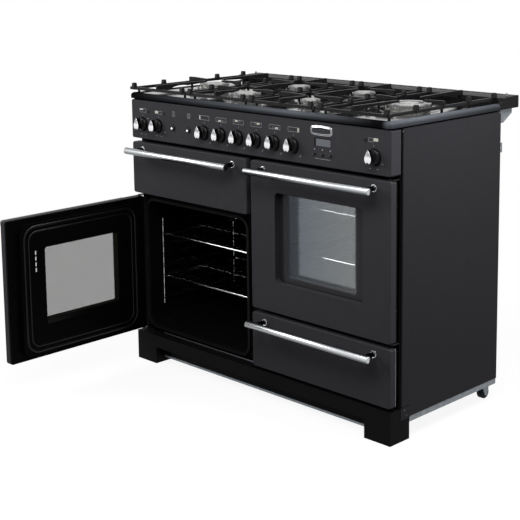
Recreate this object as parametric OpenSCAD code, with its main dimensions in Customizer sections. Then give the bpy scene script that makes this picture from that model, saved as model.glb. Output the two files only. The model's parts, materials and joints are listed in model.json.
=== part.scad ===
// Range cooker with a double oven, a drop-down grill, a storage drawer and a six-burner gas hob.
// Millimetres. +X is to the right of someone facing the front, +Y goes to the wall, +Z is up.
// The origin is on the floor, mid-width, in the plane of the closed doors' outer faces.
// The left oven door is drawn standing open at a right angle, as it rests; everything else is shut.

/* [Overall] */
// Width over the doors and side panels
overall_w = 1092; // [1060:1:1130]
// Height of the hob's rolled rim above the floor
hob_z = 903; // [890:1:920]
// Depth from the door faces to the back of the flue trim
hob_d = 592; // [580:1:615]
// How far the flue trim reaches behind the side panels
rear_overhang = 86; // [80:1:95]
// Thickness of folded sheet steel
sheet_t = 1.5; // [1.2:0.1:1.8]
// Running clearance of a pin or spindle in its hole, on the radius
pin_clear = 0.05; // [0.03:0.01:0.1]
// Gap left where a curved or loose piece is seated
seat_gap = 0.3; // [0.2:0.05:0.4]

/* [Front layout] */
// Height of the plinth
plinth_h = 97; // [90:1:105]
// Gap between the plinth and the lowest doors
plinth_gap = 9; // [7:0.5:12]
// Gap between the two columns of doors
column_gap = 18; // [14:1:24]
// Gap between doors that stand one above the other
row_gap = 14; // [12:0.5:18]
// Gap between the top doors and the control panel
top_gap = 13; // [10:0.5:16]
// Height of the storage drawer's front
drawer_h = 170; // [160:1:185]
// Height of the grill door
grill_h = 170; // [160:1:180]
// Height of the control panel
panel_h = 126; // [120:1:132]
// Height of the hob's rolled rim
rim_h = 18; // [16:1:21]
// Shadow gap between the hob's rim and the panels below it
hob_gap = 5; // [3:0.5:7]
// Corner radius of doors, drawer front and control panel
front_r = 7; // [4:0.5:10]
// Softened front edge of doors, drawer front and control panel
edge_soft = 2.5; // [1.5:0.5:3.5]

/* [Doors] */
// Thickness of an oven door without its inner plug
door_t = 28; // [26:1:30]
// How far the inner plug reaches into the oven mouth
plug_d = 18; // [14:1:22]
// Gap all round between an inner plug and the oven mouth
plug_gap = 5; // [4:0.5:8]
// Distance from a door's side edge to its hinge axis
hinge_inset = 8; // [7:0.5:10]
// Depth of the hinge axis behind the door's outer face
hinge_y = 16; // [14:0.5:17]
// Radius of a hinge pin
hinge_pin_r = 3; // [2.5:0.1:3.5]
// Width of the window recess
window_w = 338; // [320:1:350]
// Height of the window recess
window_h = 272; // [250:1:280]
// Depth of the outer pane behind the door's face
window_d = 18; // [14:1:20]
// Thickness of a pane of glass
glass_t = 4; // [3:0.5:5]
// Rise of the window's centre above the door's centre
window_rise = 4; // [0:1:8]

/* [Handles] */
// Length of a handle between its end faces
handle_l = 490; // [460:1:495]
// Radius of the handle's tube
handle_r = 11; // [9:0.5:12]
// Distance from a door's face to the handle's axis
handle_off = 50; // [44:1:56]
// Distance between a handle's two posts
post_pitch = 430; // [400:1:440]
// Distance from a door's top edge to its handle's axis
handle_drop = 22; // [20:0.5:26]
// Length of the polished end ferrule
ferrule_l = 26; // [18:1:32]

/* [Ovens] */
// Margin between a door's side edge and the oven mouth
mouth_margin = 33; // [31:1:36]
// Margin between an oven door's top or bottom edge and the oven mouth
mouth_margin_z = 13; // [11:1:16]
// Margin between the grill door's top or bottom edge and the grill mouth
grill_margin_z = 24; // [22:1:28]
// Space between the oven cavities and the back of the side panels
back_space = 48; // [40:1:60]
// How much shallower the grill chamber is than the ovens
grill_short = 40; // [20:1:60]
// Corner radius of an oven mouth
mouth_r = 32; // [25:1:38]
// Width of the door seal
seal_w = 9; // [7:0.5:11]
// Depth of the front frame
frame_t = 22; // [20:1:26]
// Gap between a closed door and the front frame
frame_gap = 10; // [9:0.5:12]
// Radius of the shelf support wire
ladder_r = 2; // [1.8:0.1:2.4]
// Radius of a shelf's frame wire
shelf_r = 3; // [2.5:0.1:3.5]
// Radius of a shelf's cross wire
grid_r = 1.8; // [1.4:0.1:2.2]
// Bend radius of a shelf's frame wire at its corners
shelf_bend = 14; // [10:1:20]
// Distance between shelf positions
shelf_pitch = 36; // [34:1:40]
// Wires running front to back in one shelf
shelf_wires = 10; // [8:1:12]

/* [Hob] */
// Overhang of the hob beyond each side of the cabinet
hob_side = 3; // [2:0.5:5]
// Overhang of the hob beyond the control panel
hob_front = 6; // [4:0.5:8]
// Depth of the deck below the rim's top
deck_drop = 3; // [2:0.5:4]
// Width of the rolled rim
rim_w = 14; // [12:0.5:16]
// Height of the flue trim above the rim
flue_rise = 18; // [15:1:22]
// Distance from the back of the side panels to the front of the flue trim
flue_set = 11; // [8:1:16]
// Length of the curved cheek that leads up to the flue trim
cheek_l = 19; // [15:1:22]
// Height of a pan support's rails above the rim
support_lift = 10; // [8:0.5:12]
// Height of a pan support's rail
rail_h = 9; // [8:0.5:10]
// Width of a pan support's rail
rail_w = 9; // [8:0.5:11]
// Distance from a pan support's end to the middle of its side rail
rail_in = 17; // [15:0.5:20]
// Height of the lugs and fingers above the rail
lug_h = 13; // [11:0.5:15]
// Width of a lug
lug_w = 13; // [11:0.5:15]
// Width of a finger
finger_w = 8; // [7:0.5:10]
// Gap between neighbouring pan supports
support_gap = 4; // [3:0.5:6]
// Height of the burner caps above the deck
cap_z = 21; // [19:0.5:23]

/* [Controls] */
// Radius of a control knob
knob_r = 23; // [21:0.5:24]
// Reach of a control knob in front of the panel
knob_reach = 36; // [32:1:42]
// Radius of a spindle
spindle_r = 4; // [3.5:0.1:4.5]
// Height of the knobs' axis above the control panel's lower edge
knob_z = 50; // [47:0.5:53]
// Radius of a push button
button_r = 8; // [7:0.5:9]
// Reach of a push button in front of the panel
button_reach = 11; // [9:0.5:13]
// Travel of a push button
button_travel = 4; // [3:0.5:5]
// Width of the clock's window
clock_w = 60; // [54:1:66]
// Height of the clock's window
clock_h = 24; // [20:1:27]

/* [Base] */
// Width of a plinth foot
foot_w = 94; // [80:1:100]
// Depth of a plinth foot
foot_d = 84; // [78:1:90]
// Clear height under the plinth between its feet
arch_h = 56; // [50:1:62]
// Radius of a rear roller
roller_r = 19; // [17:0.5:22]
// Width of a rear roller
roller_w = 20; // [16:1:24]
// Bottom of the side panels above the floor
side_z = 65; // [62:1:70]

/* [Hidden] */
$fn = 48;
half_w = overall_w / 2;
lift = 0.01;                      // overlap that fuses solids of one piece
// heights
panel_z1 = hob_z - rim_h - hob_gap;
panel_z0 = panel_z1 - panel_h;
doors_z1 = panel_z0 - top_gap;
doors_z0 = plinth_h + plinth_gap;
drawer_z1 = doors_z0 + drawer_h;
right_z0 = drawer_z1 + row_gap;
right_h = doors_z1 - right_z0;
grill_z0 = doors_z1 - grill_h;
left_z1 = grill_z0 - row_gap;
left_h = left_z1 - doors_z0;
frame_z0 = plinth_h + 2;
frame_z1 = panel_z0 - 2;
// widths
door_w = (overall_w - column_gap) / 2;
door_cx = (column_gap + door_w) / 2;
mouth_w = door_w - 2 * mouth_margin;
inner_half = half_w - sheet_t;
hinge_x = half_w - hinge_inset;
// depths
cabinet_d = hob_d - rear_overhang;
frame_y = door_t + frame_gap;
frame_back = frame_y + frame_t;
side_y = frame_y + 6;
oven_depth = cabinet_d - frame_y - back_space;
grill_depth = oven_depth - grill_short;
liner_lip = sheet_t;
seal_y1 = frame_y - liner_lip;
seal_t = seal_y1 - door_t - 0.5;
// mouths of the chambers: centre x, bottom z, top z
left_mouth = [-door_cx, doors_z0 + mouth_margin_z, left_z1 - mouth_margin_z];
right_mouth = [door_cx, right_z0 + mouth_margin_z, doors_z1 - mouth_margin_z];
grill_mouth = [-door_cx, grill_z0 + grill_margin_z, doors_z1 - grill_margin_z];
drawer_mouth = [door_cx, doors_z0 + mouth_margin_z, drawer_z1 - mouth_margin_z];
grill_r = 12;
pan_side = 35.5;                  // room at each side of the grill pan, before it and behind it
pan_front = 20;
pan_rear = 60;
burner_side = 65.5;               // and round the grill burner
burner_front = 70;
burner_rear = 110;
cover_side = 85.5;                // and round a fan cover
cover_end = 82.5;
liner_t = sheet_t;
liner_fit = 0.5;                  // clearance of a liner in the front frame
// chassis
rail_z0 = side_z - 17;
tray_z = side_z - 5;
tray_t = 2;
front_rail_z0 = 14;
axle_r = 4;
roller_x = half_w - 33;
roller_y = cabinet_d - 22;
fork_t = 2.5;
fork_gap = 1;
// hob
deck_z = hob_z - deck_drop;
deck_t = 2;
hob_x = half_w + hob_side;
flue_y = cabinet_d + flue_set;
flue_z = hob_z + flue_rise;
flue_foot = hob_z - rim_h;
support_z = hob_z + support_lift;
support_y0 = -hob_front + 2;
support_y1 = flue_y - cheek_l;
support_w = (2 * half_w - 3 * support_gap) / 4;
support_pitch = support_w + support_gap;
rail_z1 = support_z + rail_h;
lug_z = rail_z1 + lug_h;
foot_rim_r = 4;
// burners: x, y, cap radius
burner_xo = 1.5 * support_pitch;
burner_xi = 0.5 * support_pitch;
support_mid = (support_y0 + support_y1) / 2;
burner_dy = 121;
BURNERS = [
    [-burner_xo, support_mid, 49],
    [-burner_xi, support_mid - burner_dy, 48],
    [-burner_xi, support_mid + burner_dy, 36],
    [burner_xi, support_mid - burner_dy, 30],
    [burner_xi, support_mid + burner_dy, 36]
];
WOK = [burner_xo, support_mid, 62];
wok_inner_r = 28;
cap_t = 7;
cap_top = deck_z + cap_z;
sump_h = 34;
port_w = 1.8;
// controls
knob_axis_z = panel_z0 + knob_z;
knob_pitch = half_w * 0.139194;
oven_knob_x = [-half_w * 0.895604, -half_w * 0.758242];
hob_knob_x0 = -half_w * 0.355311;
right_knob_x = half_w * 0.894689;
KNOB_X = [
    oven_knob_x[0], oven_knob_x[1],
    for (i = [0:5]) hob_knob_x0 + i * knob_pitch,
    right_knob_x
];
BUTTON_X = [-half_w * 0.620879, -half_w * 0.486264];
clock_x = half_w * 0.548535;
clock_z = panel_z0 + 70;
clock_button_z = panel_z0 + 34;
clock_button_pitch = 30.5;
clock_button_r = 3.5;
clock_button_reach = 5;
CLOCK_BUTTON_X = [for (i = [-1:1]) clock_x + i * clock_button_pitch];
LAMP_X = [oven_knob_x[0] + 24, oven_knob_x[1] + 26, right_knob_x - 30.5];
lamp_z = panel_z0 + 97;
lamp_r = 2.6;
panel_t = 2;
panel_skin = panel_t + edge_soft / 2;  // where the fascia's back face lies
panel_back = side_y - 4;
knob_gap = 1;
nut_r = 8;
nut_t = 4;
glass_set = 0.8;                  // the clock's window lies this far behind the fascia's face
module_y = panel_skin + 8.5;
module_d = 13;
clock_rim = 6;
thermostat = [32, 26, 36];
switch_w = 26;
switch_d = 22;
button_fit = 0.3;
stem_in = 2;                      // how far a button's stem reaches into its switch at rest
skirt_t = 12;
knob_rise = 1;                    // the grip's middle lies this far above the spindle
valve_y = 22;
valve_d = 46;
manifold_y = valve_y + valve_d + 6;
manifold_r = 10;
pipe_r = manifold_r - 3;
thread_r = 10.5;
thread_l = 20;
flange_l = 12;
// shelves
shelf_front_y = frame_y + 57;
shelf_back_y = frame_y + oven_depth - 40;
ladder_y = [frame_y + 50, frame_y + oven_depth - 45];
ladder_x = mouth_w / 2 - 6;
rung_in = 1.8 * ladder_r;          // rungs lie inboard of the upright wires
wire_in = rung_in + 1.2 * ladder_r;  // a shelf's side wire lies further inboard still
rung_dz = sqrt(pow(shelf_r + ladder_r + seat_gap, 2) - pow(wire_in - rung_in, 2));
ladder_levels = 8;
shelf_z0 = 84;                    // lowest shelf position above a mouth's lower edge
LEFT_SHELF_LEVELS = [6, 2];
RIGHT_SHELF_LEVELS = [6, 2];
shelf_half = ladder_x - wire_in;
// drawer
drawer_wall = 1.2;
drawer_depth = oven_depth - 20;
drawer_side = 14;
drawer_lift = 10;                 // the box's floor lies this far above the frame's opening edge
drawer_rim = 8;                   // and its top this far above the runners
slide_w = 5;
slide_t = 3;
face_t = 2;
runner_h = 12;
// small parts
back_t = 13;
gusset_t = 2;
gusset_d = 58;
gusset_h = 42;
chain_lug = [11, 29];
chain_lug_z = panel_z1 - 125;
cable_box = [120, 34, 84];
cable_box_x = -half_w * 0.549451;
cable_r = 11;
gas_x = half_w * 0.695971;
gas_z = panel_z1 - 60;
gas_hole_r = manifold_r + 4;
rib_h = 5;
cable_box_z = 180;
RIB_AT = [0.16, 0.41, 0.66];      // ribs of the back panel, as shares of its height
side_r = 14;
slot_pitch = hob_x / 13.5;
slot_w = slot_pitch * 0.8;
slot_n = 12;
cheek_w = rim_w - 1.2;
inlet_l = 46;
rail_end = 40;
riser_y = cabinet_d - 100;
louvre_n = 5;
louvre_pitch = half_w * 0.113553;
louvre_w = 40;
louvre_h = 5;
louvre_down = 190;                // lower row of louvres below the back panel's top
back_half = half_w - 10;
divider_t = 2;
plinth_back = frame_y - 2;
kick_z0 = front_rail_z0 + 8;
foot_screw = [22, 9, 2.2];        // screw of a plinth foot: from its back, from its top, hole radius
drawer_half = mouth_w / 2 - drawer_side;
runner_z = drawer_mouth[2] - 4 * drawer_rim;
runner_w = 8;
slide_z = runner_z + 2 + seat_gap;
head_h = cap_z - 3 - cap_t - seat_gap / 3;
tap_r = 11;
bracket_t = 2.5;
hinge_plate_z = 1.5;              // gap between a plate and the door's edge
pin_reach = 9;
grill_hinge_z = grill_z0 + 6;
grill_hinge_y = 14;
grill_pin_l = 17;
stud_in = 34;
stud_y = hob_d - stud_in;
stud_x = half_w - 16;
inner_window_w = 284;
inner_window_h = 246;
back_skin = 6;
vent_x = inner_window_w / 2 + 34;
bore_l = pin_reach + 3;
notch_in = 10;                    // from the door's side edge to the notch
notch_w = bracket_t + 2;

// ---------------------------------------------------------------- shared shapes

// Rounded rectangle about the origin
module rrect(w, h, r) {
    square([w - 2 * r, h], center = true);
    square([w, h - 2 * r], center = true);
    for (x = [-1, 1], y = [-1, 1])
        translate([x * (w / 2 - r), y * (h / 2 - r)]) circle(r);
}

// Rounded ring, measured over its outside
module rring(w, h, r, t) {
    difference() {
        rrect(w, h, r);
        rrect(w - 2 * t, h - 2 * t, max(r - t, 0.5));
    }
}

// Extrude an X-Z outline from y0 towards the wall
module front_on(y0, t, cx = 0, cz = 0) {
    translate([cx, y0 + t, cz]) rotate([90, 0, 0]) linear_extrude(t) children();
}

// Extrude a Y-Z outline from x0 towards +X
module side_on(x0, t) {
    translate([x0, 0, 0]) rotate([90, 0, 90]) linear_extrude(t) children();
}

// Rod along X, Y or Z from a point
module rod_x(p, l, r) {
    translate(p) rotate([0, 90, 0]) cylinder(h = l, r = r);
}
module rod_y(p, l, r) {
    translate(p) rotate([-90, 0, 0]) cylinder(h = l, r = r);
}

// Pressed pan, open at the back, with a softened front edge; its outer face is at y = 0
module soft_pan(w, h, depth, r, wall) {
    difference() {
        hull() {
            front_on(0, 0.5) rrect(w - 2 * edge_soft, h - 2 * edge_soft, r - edge_soft / 2, $fn = 32);
            front_on(edge_soft * 0.3, 0.5)
                rrect(w - 0.6 * edge_soft, h - 0.6 * edge_soft, r, $fn = 32);
            front_on(edge_soft, depth - edge_soft) rrect(w, h, r, $fn = 32);
        }
        front_on(wall + edge_soft / 2, depth)
            rrect(w - 2 * wall, h - 2 * wall, r - wall, $fn = 32);
    }
}

// Centre of a mouth
function mouth_cz(m) = (m[1] + m[2]) / 2;
function mouth_h(m) = m[2] - m[1];

// ---------------------------------------------------------------- cabinet

// One side panel, drawn on the right: a folded sheet with top, rear and lower returns
module side_panel() {
    fold = 14;
    color([0.16, 0.155, 0.16]) {
        side_on(half_w - sheet_t, sheet_t) polygon([
            [side_y, panel_z1],
            for (a = [0:15:90]) [cabinet_d - side_r + side_r * sin(a), panel_z1 - side_r + side_r * cos(a)],
            [cabinet_d, side_z], [foot_d + 2, side_z], [foot_d + 2, frame_z0], [side_y, frame_z0]
        ]);
        translate([half_w - fold, side_y, panel_z1 - sheet_t])
            cube([fold - sheet_t / 2, cabinet_d - side_r - side_y, sheet_t]);
        translate([half_w - fold, cabinet_d - sheet_t, side_z])
            cube([fold - sheet_t / 2, sheet_t, panel_z1 - side_r - side_z]);
    }
}
module side_panel_right() { side_panel(); }
module side_panel_left() { mirror([1, 0, 0]) side_panel(); }

// Galvanised back: flanged sheet with pressed ribs, gusset brackets and the cable box
module back_panel() {
    w = 2 * back_half;
    z0 = side_z + 4;
    z1 = panel_z1 - 2;
    y1 = cabinet_d + back_t;
    color([0.72, 0.74, 0.75]) {
        difference() {
            translate([-back_half, cabinet_d, z0]) cube([w, back_t, z1 - z0]);
            translate([-back_half + sheet_t, cabinet_d - 1, z0 + sheet_t])
                cube([w - 2 * sheet_t, back_t + 1 - sheet_t, z1 - z0 - 2 * sheet_t]);
            rod_y([gas_x, cabinet_d, gas_z], back_t + 1, gas_hole_r);
            // two rows of cooling louvres under the hob
            for (i = [-louvre_n:louvre_n], k = [0, 1])
                translate([i * louvre_pitch - louvre_w / 2, cabinet_d, z1 - louvre_down + k * 3 * louvre_h])
                    cube([louvre_w, back_t + 1, louvre_h]);
        }
        // pressed stiffening ribs
        for (k = RIB_AT)
            front_on(y1 - lift, rib_h, 0, z0 + (z1 - z0) * k) rrect(w - 160, 26, 12);
        // upstand that carries the flue trim
        translate([-back_half, y1 - sheet_t, z1 - lift])
            cube([w, sheet_t, flue_foot - seat_gap / 3 - z1 + lift]);
        // gussets that carry the overhanging flue trim
        for (s = [-1, 1])
            side_on(s * (back_half - gusset_t / 2) - gusset_t / 2, gusset_t)
                polygon([
                    [y1 - lift, flue_foot - seat_gap / 3], [y1 + gusset_d, flue_foot - seat_gap / 3],
                    [y1 + gusset_d, flue_foot - gusset_h * 0.38],
                    [y1 + gusset_d * 0.24, flue_foot - gusset_h], [y1 - lift, flue_foot - gusset_h]
                ]);
        // eye lugs for a restraining chain
        for (s = [-1, 1])
            side_on(s * (back_half - gusset_t / 2) - gusset_t / 2, gusset_t) difference() {
                translate([y1 - lift, chain_lug_z]) square(chain_lug);
                translate([y1 + chain_lug[0] / 2, chain_lug_z + chain_lug[1] / 2]) circle(chain_lug[0] / 4);
            }
        // cable box with its entry hole underneath
        translate([cable_box_x - cable_box[0] / 2, y1 - lift, z0 + cable_box_z]) difference() {
            cube(cable_box);
            translate([sheet_t, sheet_t, sheet_t])
                cube([cable_box[0] - 2 * sheet_t, cable_box[1] - 2 * sheet_t, cable_box[2] - 2 * sheet_t]);
            translate([cable_box[0] / 2, cable_box[1] / 2, -1]) cylinder(h = sheet_t + 2, r = cable_r);
        }
    }
}

// Galvanised chassis: tray, side and front rails, dividing wall, drawer runners, roller forks
module base_chassis() {
    x = inner_half;
    rail_t = 2;
    color([0.7, 0.72, 0.73]) {
        // tray, narrower where the plinth's feet stand
        translate([-x, foot_d, tray_z]) cube([2 * x, cabinet_d - sheet_t - foot_d, tray_t]);
        translate([-half_w + foot_w, frame_back, tray_z])
            cube([overall_w - 2 * foot_w, foot_d - frame_back + lift, tray_t]);
        // front rail between the plinth's feet, an L of sheet under the front frame
        translate([-half_w + foot_w, plinth_back, front_rail_z0])
            cube([overall_w - 2 * foot_w, rail_t, frame_z0 - front_rail_z0]);
        translate([-half_w + foot_w, plinth_back, front_rail_z0])
            cube([overall_w - 2 * foot_w, frame_back - plinth_back, rail_t]);
        translate([-half_w + foot_w, plinth_back, frame_z0 - rail_t])
            cube([overall_w - 2 * foot_w, frame_back - plinth_back + lift, rail_t]);
        translate([-half_w + foot_w, frame_back - lift, tray_z])
            cube([overall_w - 2 * foot_w, rail_t, frame_z0 - tray_z]);
        // side rails seen below the side panels
        for (s = [-1, 1]) {
            translate([s * (x - rail_t / 2) - rail_t / 2, foot_d + 2, rail_z0])
                cube([rail_t, cabinet_d - sheet_t - foot_d - 2, tray_z + 30 - rail_z0]);
            translate([s * (x - 15) - 15, foot_d + 2, rail_z0])
                cube([30, cabinet_d - sheet_t - foot_d - 2, rail_t]);
        }
        // dividing wall between the two columns
        translate([-divider_t / 2, frame_back, tray_z])
            cube([divider_t, cabinet_d - frame_back, frame_z1 - tray_z]);
        // shelf that carries the drawer's outer runner
        for (s = [-1, 1]) drawer_runner(s);
        for (s = [-1, 1]) roller_fork(s * roller_x);
    }
}

// Channel on the chassis that the drawer's side flange slides in, with its stand
module drawer_runner(s) {
    y0 = frame_back + 4;
    l = drawer_depth - 20;
    pitch = l / 4;
    web = runner_z - tray_z;
    xr = door_cx + s * (drawer_half + 1 + runner_w / 2);
    translate([xr - runner_w / 2, y0, tray_z]) difference() {
        cube([runner_w, l, runner_z + runner_h - tray_z]);
        translate([s > 0 ? -1 : 1.6, -1, runner_z - tray_z + 2]) cube([runner_w - 0.6, l + 2, runner_h - 4]);
        for (i = [0:3])
            translate([-1, (i + 0.3) * pitch, web * 0.21]) cube([runner_w + 2, pitch * 0.65, web * 0.65]);
        // room for the plinth's foot
        translate([-1, -1, -1]) cube([runner_w + 2, foot_d + 2 - y0, plinth_h + 2 - tray_z]);
    }
}

// Fork and axle of one rear roller
module roller_fork(x) {
    top = rail_z0 + 1;
    half = roller_w / 2 + fork_gap;
    for (s = [-1, 1])
        side_on(x + s * (half + fork_t / 2) - fork_t / 2, fork_t) {
            translate([roller_y, roller_r]) circle(9);
            polygon([
                [roller_y - 9, roller_r], [roller_y + 9, roller_r],
                [roller_y + 14, top], [roller_y - 22, top]
            ]);
        }
    translate([x - half - fork_t, roller_y - 22, top - 1])
        cube([2 * half + 2 * fork_t, 36, 2]);
    rod_x([x - half - fork_t, roller_y, roller_r], 2 * half + 2 * fork_t, axle_r);
}

// Black front frame: pressed panel with a flanged opening for each chamber
module front_frame() {
    cz = (frame_z0 + frame_z1) / 2;
    h = frame_z1 - frame_z0;
    w = 2 * inner_half;
    ft = 2;
    color([0.03, 0.03, 0.032]) {
        difference() {
            front_on(frame_y, ft, 0, cz) square([w, h], center = true);
            for (m = [left_mouth, right_mouth])
                front_on(frame_y - 1, ft + 2, m[0], mouth_cz(m)) frame_hole(m, mouth_r);
            front_on(frame_y - 1, ft + 2, grill_mouth[0], mouth_cz(grill_mouth))
                frame_hole(grill_mouth, grill_r);
            front_on(frame_y - 1, ft + 2, drawer_mouth[0], mouth_cz(drawer_mouth))
                square([mouth_w, mouth_h(drawer_mouth)], center = true);
        }
        front_on(frame_y + ft - lift, frame_t - ft, 0, cz) difference() {
            square([w, h], center = true);
            square([w - 2 * ft, h - 2 * ft], center = true);
        }
        for (m = [left_mouth, right_mouth])
            front_on(frame_y + ft - lift, frame_t - ft, m[0], mouth_cz(m)) difference() {
                offset_hole(m, mouth_r, ft);
                frame_hole(m, mouth_r);
            }
        front_on(frame_y + ft - lift, frame_t - ft, grill_mouth[0], mouth_cz(grill_mouth)) difference() {
            offset_hole(grill_mouth, grill_r, ft);
            frame_hole(grill_mouth, grill_r);
        }
    }
}
module frame_hole(m, r) {
    g = liner_t + liner_fit;
    rrect(mouth_w + 2 * g, mouth_h(m) + 2 * g, r + g);
}
module offset_hole(m, r, t) {
    g = liner_t + liner_fit + t;
    rrect(mouth_w + 2 * g, mouth_h(m) + 2 * g, r + g);
}

// Plinth: a black beam on two hollow feet with a set-back kick strip
module plinth() {
    t = sheet_t;
    color([0.07, 0.07, 0.075]) {
        // beam
        translate([-half_w + foot_w - lift, 0, arch_h])
            cube([overall_w - 2 * foot_w + 2 * lift, t, plinth_h - arch_h]);
        translate([-half_w + foot_w - lift, 0, plinth_h - t])
            cube([overall_w - 2 * foot_w + 2 * lift, plinth_back, t]);
        translate([-half_w + foot_w - lift, 0, arch_h])
            cube([overall_w - 2 * foot_w + 2 * lift, plinth_back, t]);
        // kick strip that hides the chassis
        translate([-half_w + foot_w - lift, plinth_back - t, kick_z0])
            cube([overall_w - 2 * foot_w + 2 * lift, t, plinth_h - kick_z0]);
        for (s = [-1, 1])
            translate([s * (half_w - foot_w / 2), foot_d / 2, 0]) plinth_foot(s);
    }
}
module plinth_foot(s) {
    t = sheet_t;
    translate([-foot_w / 2, -foot_d / 2, 0]) difference() {
        cube([foot_w, foot_d, plinth_h]);
        translate([t, t, t]) cube([foot_w - 2 * t, foot_d - 2 * t, plinth_h - 2 * t]);
        // fixing hole in the side wall
        rod_x([-1, foot_d - foot_screw[0], plinth_h - foot_screw[1]], foot_w + 2, foot_screw[2]);
    }
}

// Control panel: a folded fascia with holes for spindles, buttons, clock and lamps
module control_panel() {
    color([0.24, 0.235, 0.245]) difference() {
        translate([0, 0, (panel_z0 + panel_z1) / 2])
            soft_pan(overall_w, panel_h, panel_back, front_r - 2, panel_t);
        for (x = KNOB_X) rod_y([x, -1, knob_axis_z], panel_t + 4, spindle_r + 1);
        for (x = BUTTON_X) rod_y([x, -1, knob_axis_z], panel_t + 4, button_r + button_fit);
        for (x = CLOCK_BUTTON_X)
            rod_y([x, -1, clock_button_z], panel_t + 4, clock_button_r + button_fit);
        for (x = LAMP_X) rod_y([x, -1, lamp_z], panel_t + 4, lamp_r);
        front_on(-1, panel_t + 4, clock_x, clock_z) rrect(clock_w, clock_h, 2);
    }
}

// ---------------------------------------------------------------- hob

// Quarter of a disc, towards +X and +Y
module quarter(r) {
    intersection() {
        circle(r);
        square(r);
    }
}
// Section of the rolled rim: u goes outwards from the deck, v up from the rim's foot
module rim_section() {
    t = 2;
    round_r = rim_w * 0.7;
    difference() {
        union() {
            square([rim_w, rim_h - round_r]);
            square([rim_w - round_r, rim_h]);
            translate([rim_w - round_r, rim_h - round_r]) quarter(round_r);
        }
        translate([t, t]) {
            square([rim_w - 2 * t, rim_h - round_r - t]);
            square([rim_w - round_r - t, rim_h - 2 * t]);
            translate([rim_w - round_r - t, rim_h - round_r - t]) quarter(round_r - t);
        }
        translate([-1, -1]) square([t + 1.01, rim_h - deck_drop - deck_t + 1]);
    }
    // hidden foot that stands on the panels' top returns
    translate([t, -hob_gap + seat_gap / 3]) square([t, hob_gap - seat_gap / 3 + lift]);
}

// Pressed deck inside a rolled rim, with a dished well and a hole for each burner
module hob_deck() {
    z0 = flue_foot;
    y_front = -hob_front + rim_w;
    y_back = support_y1 - seat_gap / 3;
    x_in = hob_x - rim_w;
    color([0.05, 0.05, 0.055]) {
        // front rim
        translate([-x_in, y_front, z0]) rotate([90, 0, 90]) linear_extrude(2 * x_in)
            mirror([1, 0]) rim_section();
        // side rims
        for (s = [-1, 1])
            translate([s * x_in, y_back, z0]) rotate([90, 0, 0])
                linear_extrude(y_back - y_front) mirror([s > 0 ? 0 : 1, 0]) rim_section();
        // front corners
        for (s = [-1, 1])
            translate([s * x_in, y_front, z0]) rotate([0, 0, s > 0 ? -90 : 180])
                rotate_extrude(angle = 90) rim_section();
        // deck
        difference() {
            union() {
                translate([-x_in - 1, y_front - 1, deck_z - deck_t])
                    cube([2 * x_in + 2, flue_y - y_front + 1, deck_t]);
                for (b = concat(BURNERS, [WOK]))
                    translate([b[0], b[1], deck_z - lift]) rotate_extrude()
                        polygon([
                            [b[2] - 8, 0], [b[2] + 26, 0], [b[2] + 23, 1.2], [b[2] + 4, 1.6], [b[2] - 8, 1.6]
                        ]);
            }
            for (b = concat(BURNERS, [WOK]))
                translate([b[0], b[1], deck_z - deck_t - 1])
                    cylinder(h = deck_t + 6, r = b[2] - 6);
        }
    }
}

// Flue trim across the back: hollow sloping section with rising ends and vent slots
module flue_trim() {
    t = 2;
    y0 = flue_y;
    foot = flue_foot;
    color([0.06, 0.06, 0.065]) {
        difference() {
            side_on(-hob_x, 2 * hob_x) flue_outline(foot);
            side_on(-hob_x + t, 2 * hob_x - 2 * t) polygon([
                [y0 + t, foot + t], [hob_d - t, foot + t], [hob_d - t, flue_z - t],
                [y0 + 22, flue_z - 1 - t], [y0 + t, flue_z - 3 - t]
            ]);
            // outlet slots along the back
            for (i = [-slot_n:slot_n])
                translate([i * slot_pitch - slot_w / 2, hob_d - t - 1, foot + 12]) cube([slot_w, t + 2, 6]);
            // outlet slots along the top
            for (i = [-slot_n:slot_n])
                translate([i * slot_pitch - slot_w / 2, hob_d - 22, flue_z - t - 2]) cube([slot_w, 9, t + 4]);
        }
        // cheeks that sweep up from the side rims
        for (s = [-1, 1])
            side_on(s * (hob_x - cheek_w / 2) - cheek_w / 2, cheek_w) difference() {
                translate([flue_y - cheek_l, foot]) square([cheek_l + lift, rim_h + flue_rise - 3]);
                translate([flue_y - cheek_l, hob_z + cheek_l]) circle(cheek_l);
            }
    }
}
module flue_outline(foot) {
    polygon([
        [flue_y, foot], [hob_d, foot], [hob_d, flue_z - 1.5], [hob_d - 1.5, flue_z],
        [flue_y + 22, flue_z - 1], [flue_y, flue_z - 3]
    ]);
}

// ---------------------------------------------------------------- burners

// Cast sump under one burner, hanging from the deck by its flange
module burner_base(r) {
    rotate_extrude() polygon([
        [0, -sump_h], [r * 0.5, -sump_h], [r - 8, -12], [r - 7, -deck_t - 0.5], [r - 7, 1.9],
        [r + 2, 1.9], [r + 2, 3 - seat_gap / 3], [0, 3 - seat_gap / 3]
    ]);
}
module burner_bases() {
    color([0.6, 0.6, 0.6]) {
        for (b = BURNERS) translate([b[0], b[1], deck_z]) burner_base(b[2]);
        translate([WOK[0], WOK[1], deck_z]) burner_base(WOK[2]);
        // spark electrodes stand beside each head
        for (b = concat(BURNERS, [WOK]))
            translate([b[0] - (b[2] + 5) * 0.71, b[1] - (b[2] + 5) * 0.71, deck_z + 1.6 + seat_gap / 3]) {
                cylinder(h = 8, r = 3);
                cylinder(h = 13, r = 1.2);
            }
    }
}

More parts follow.
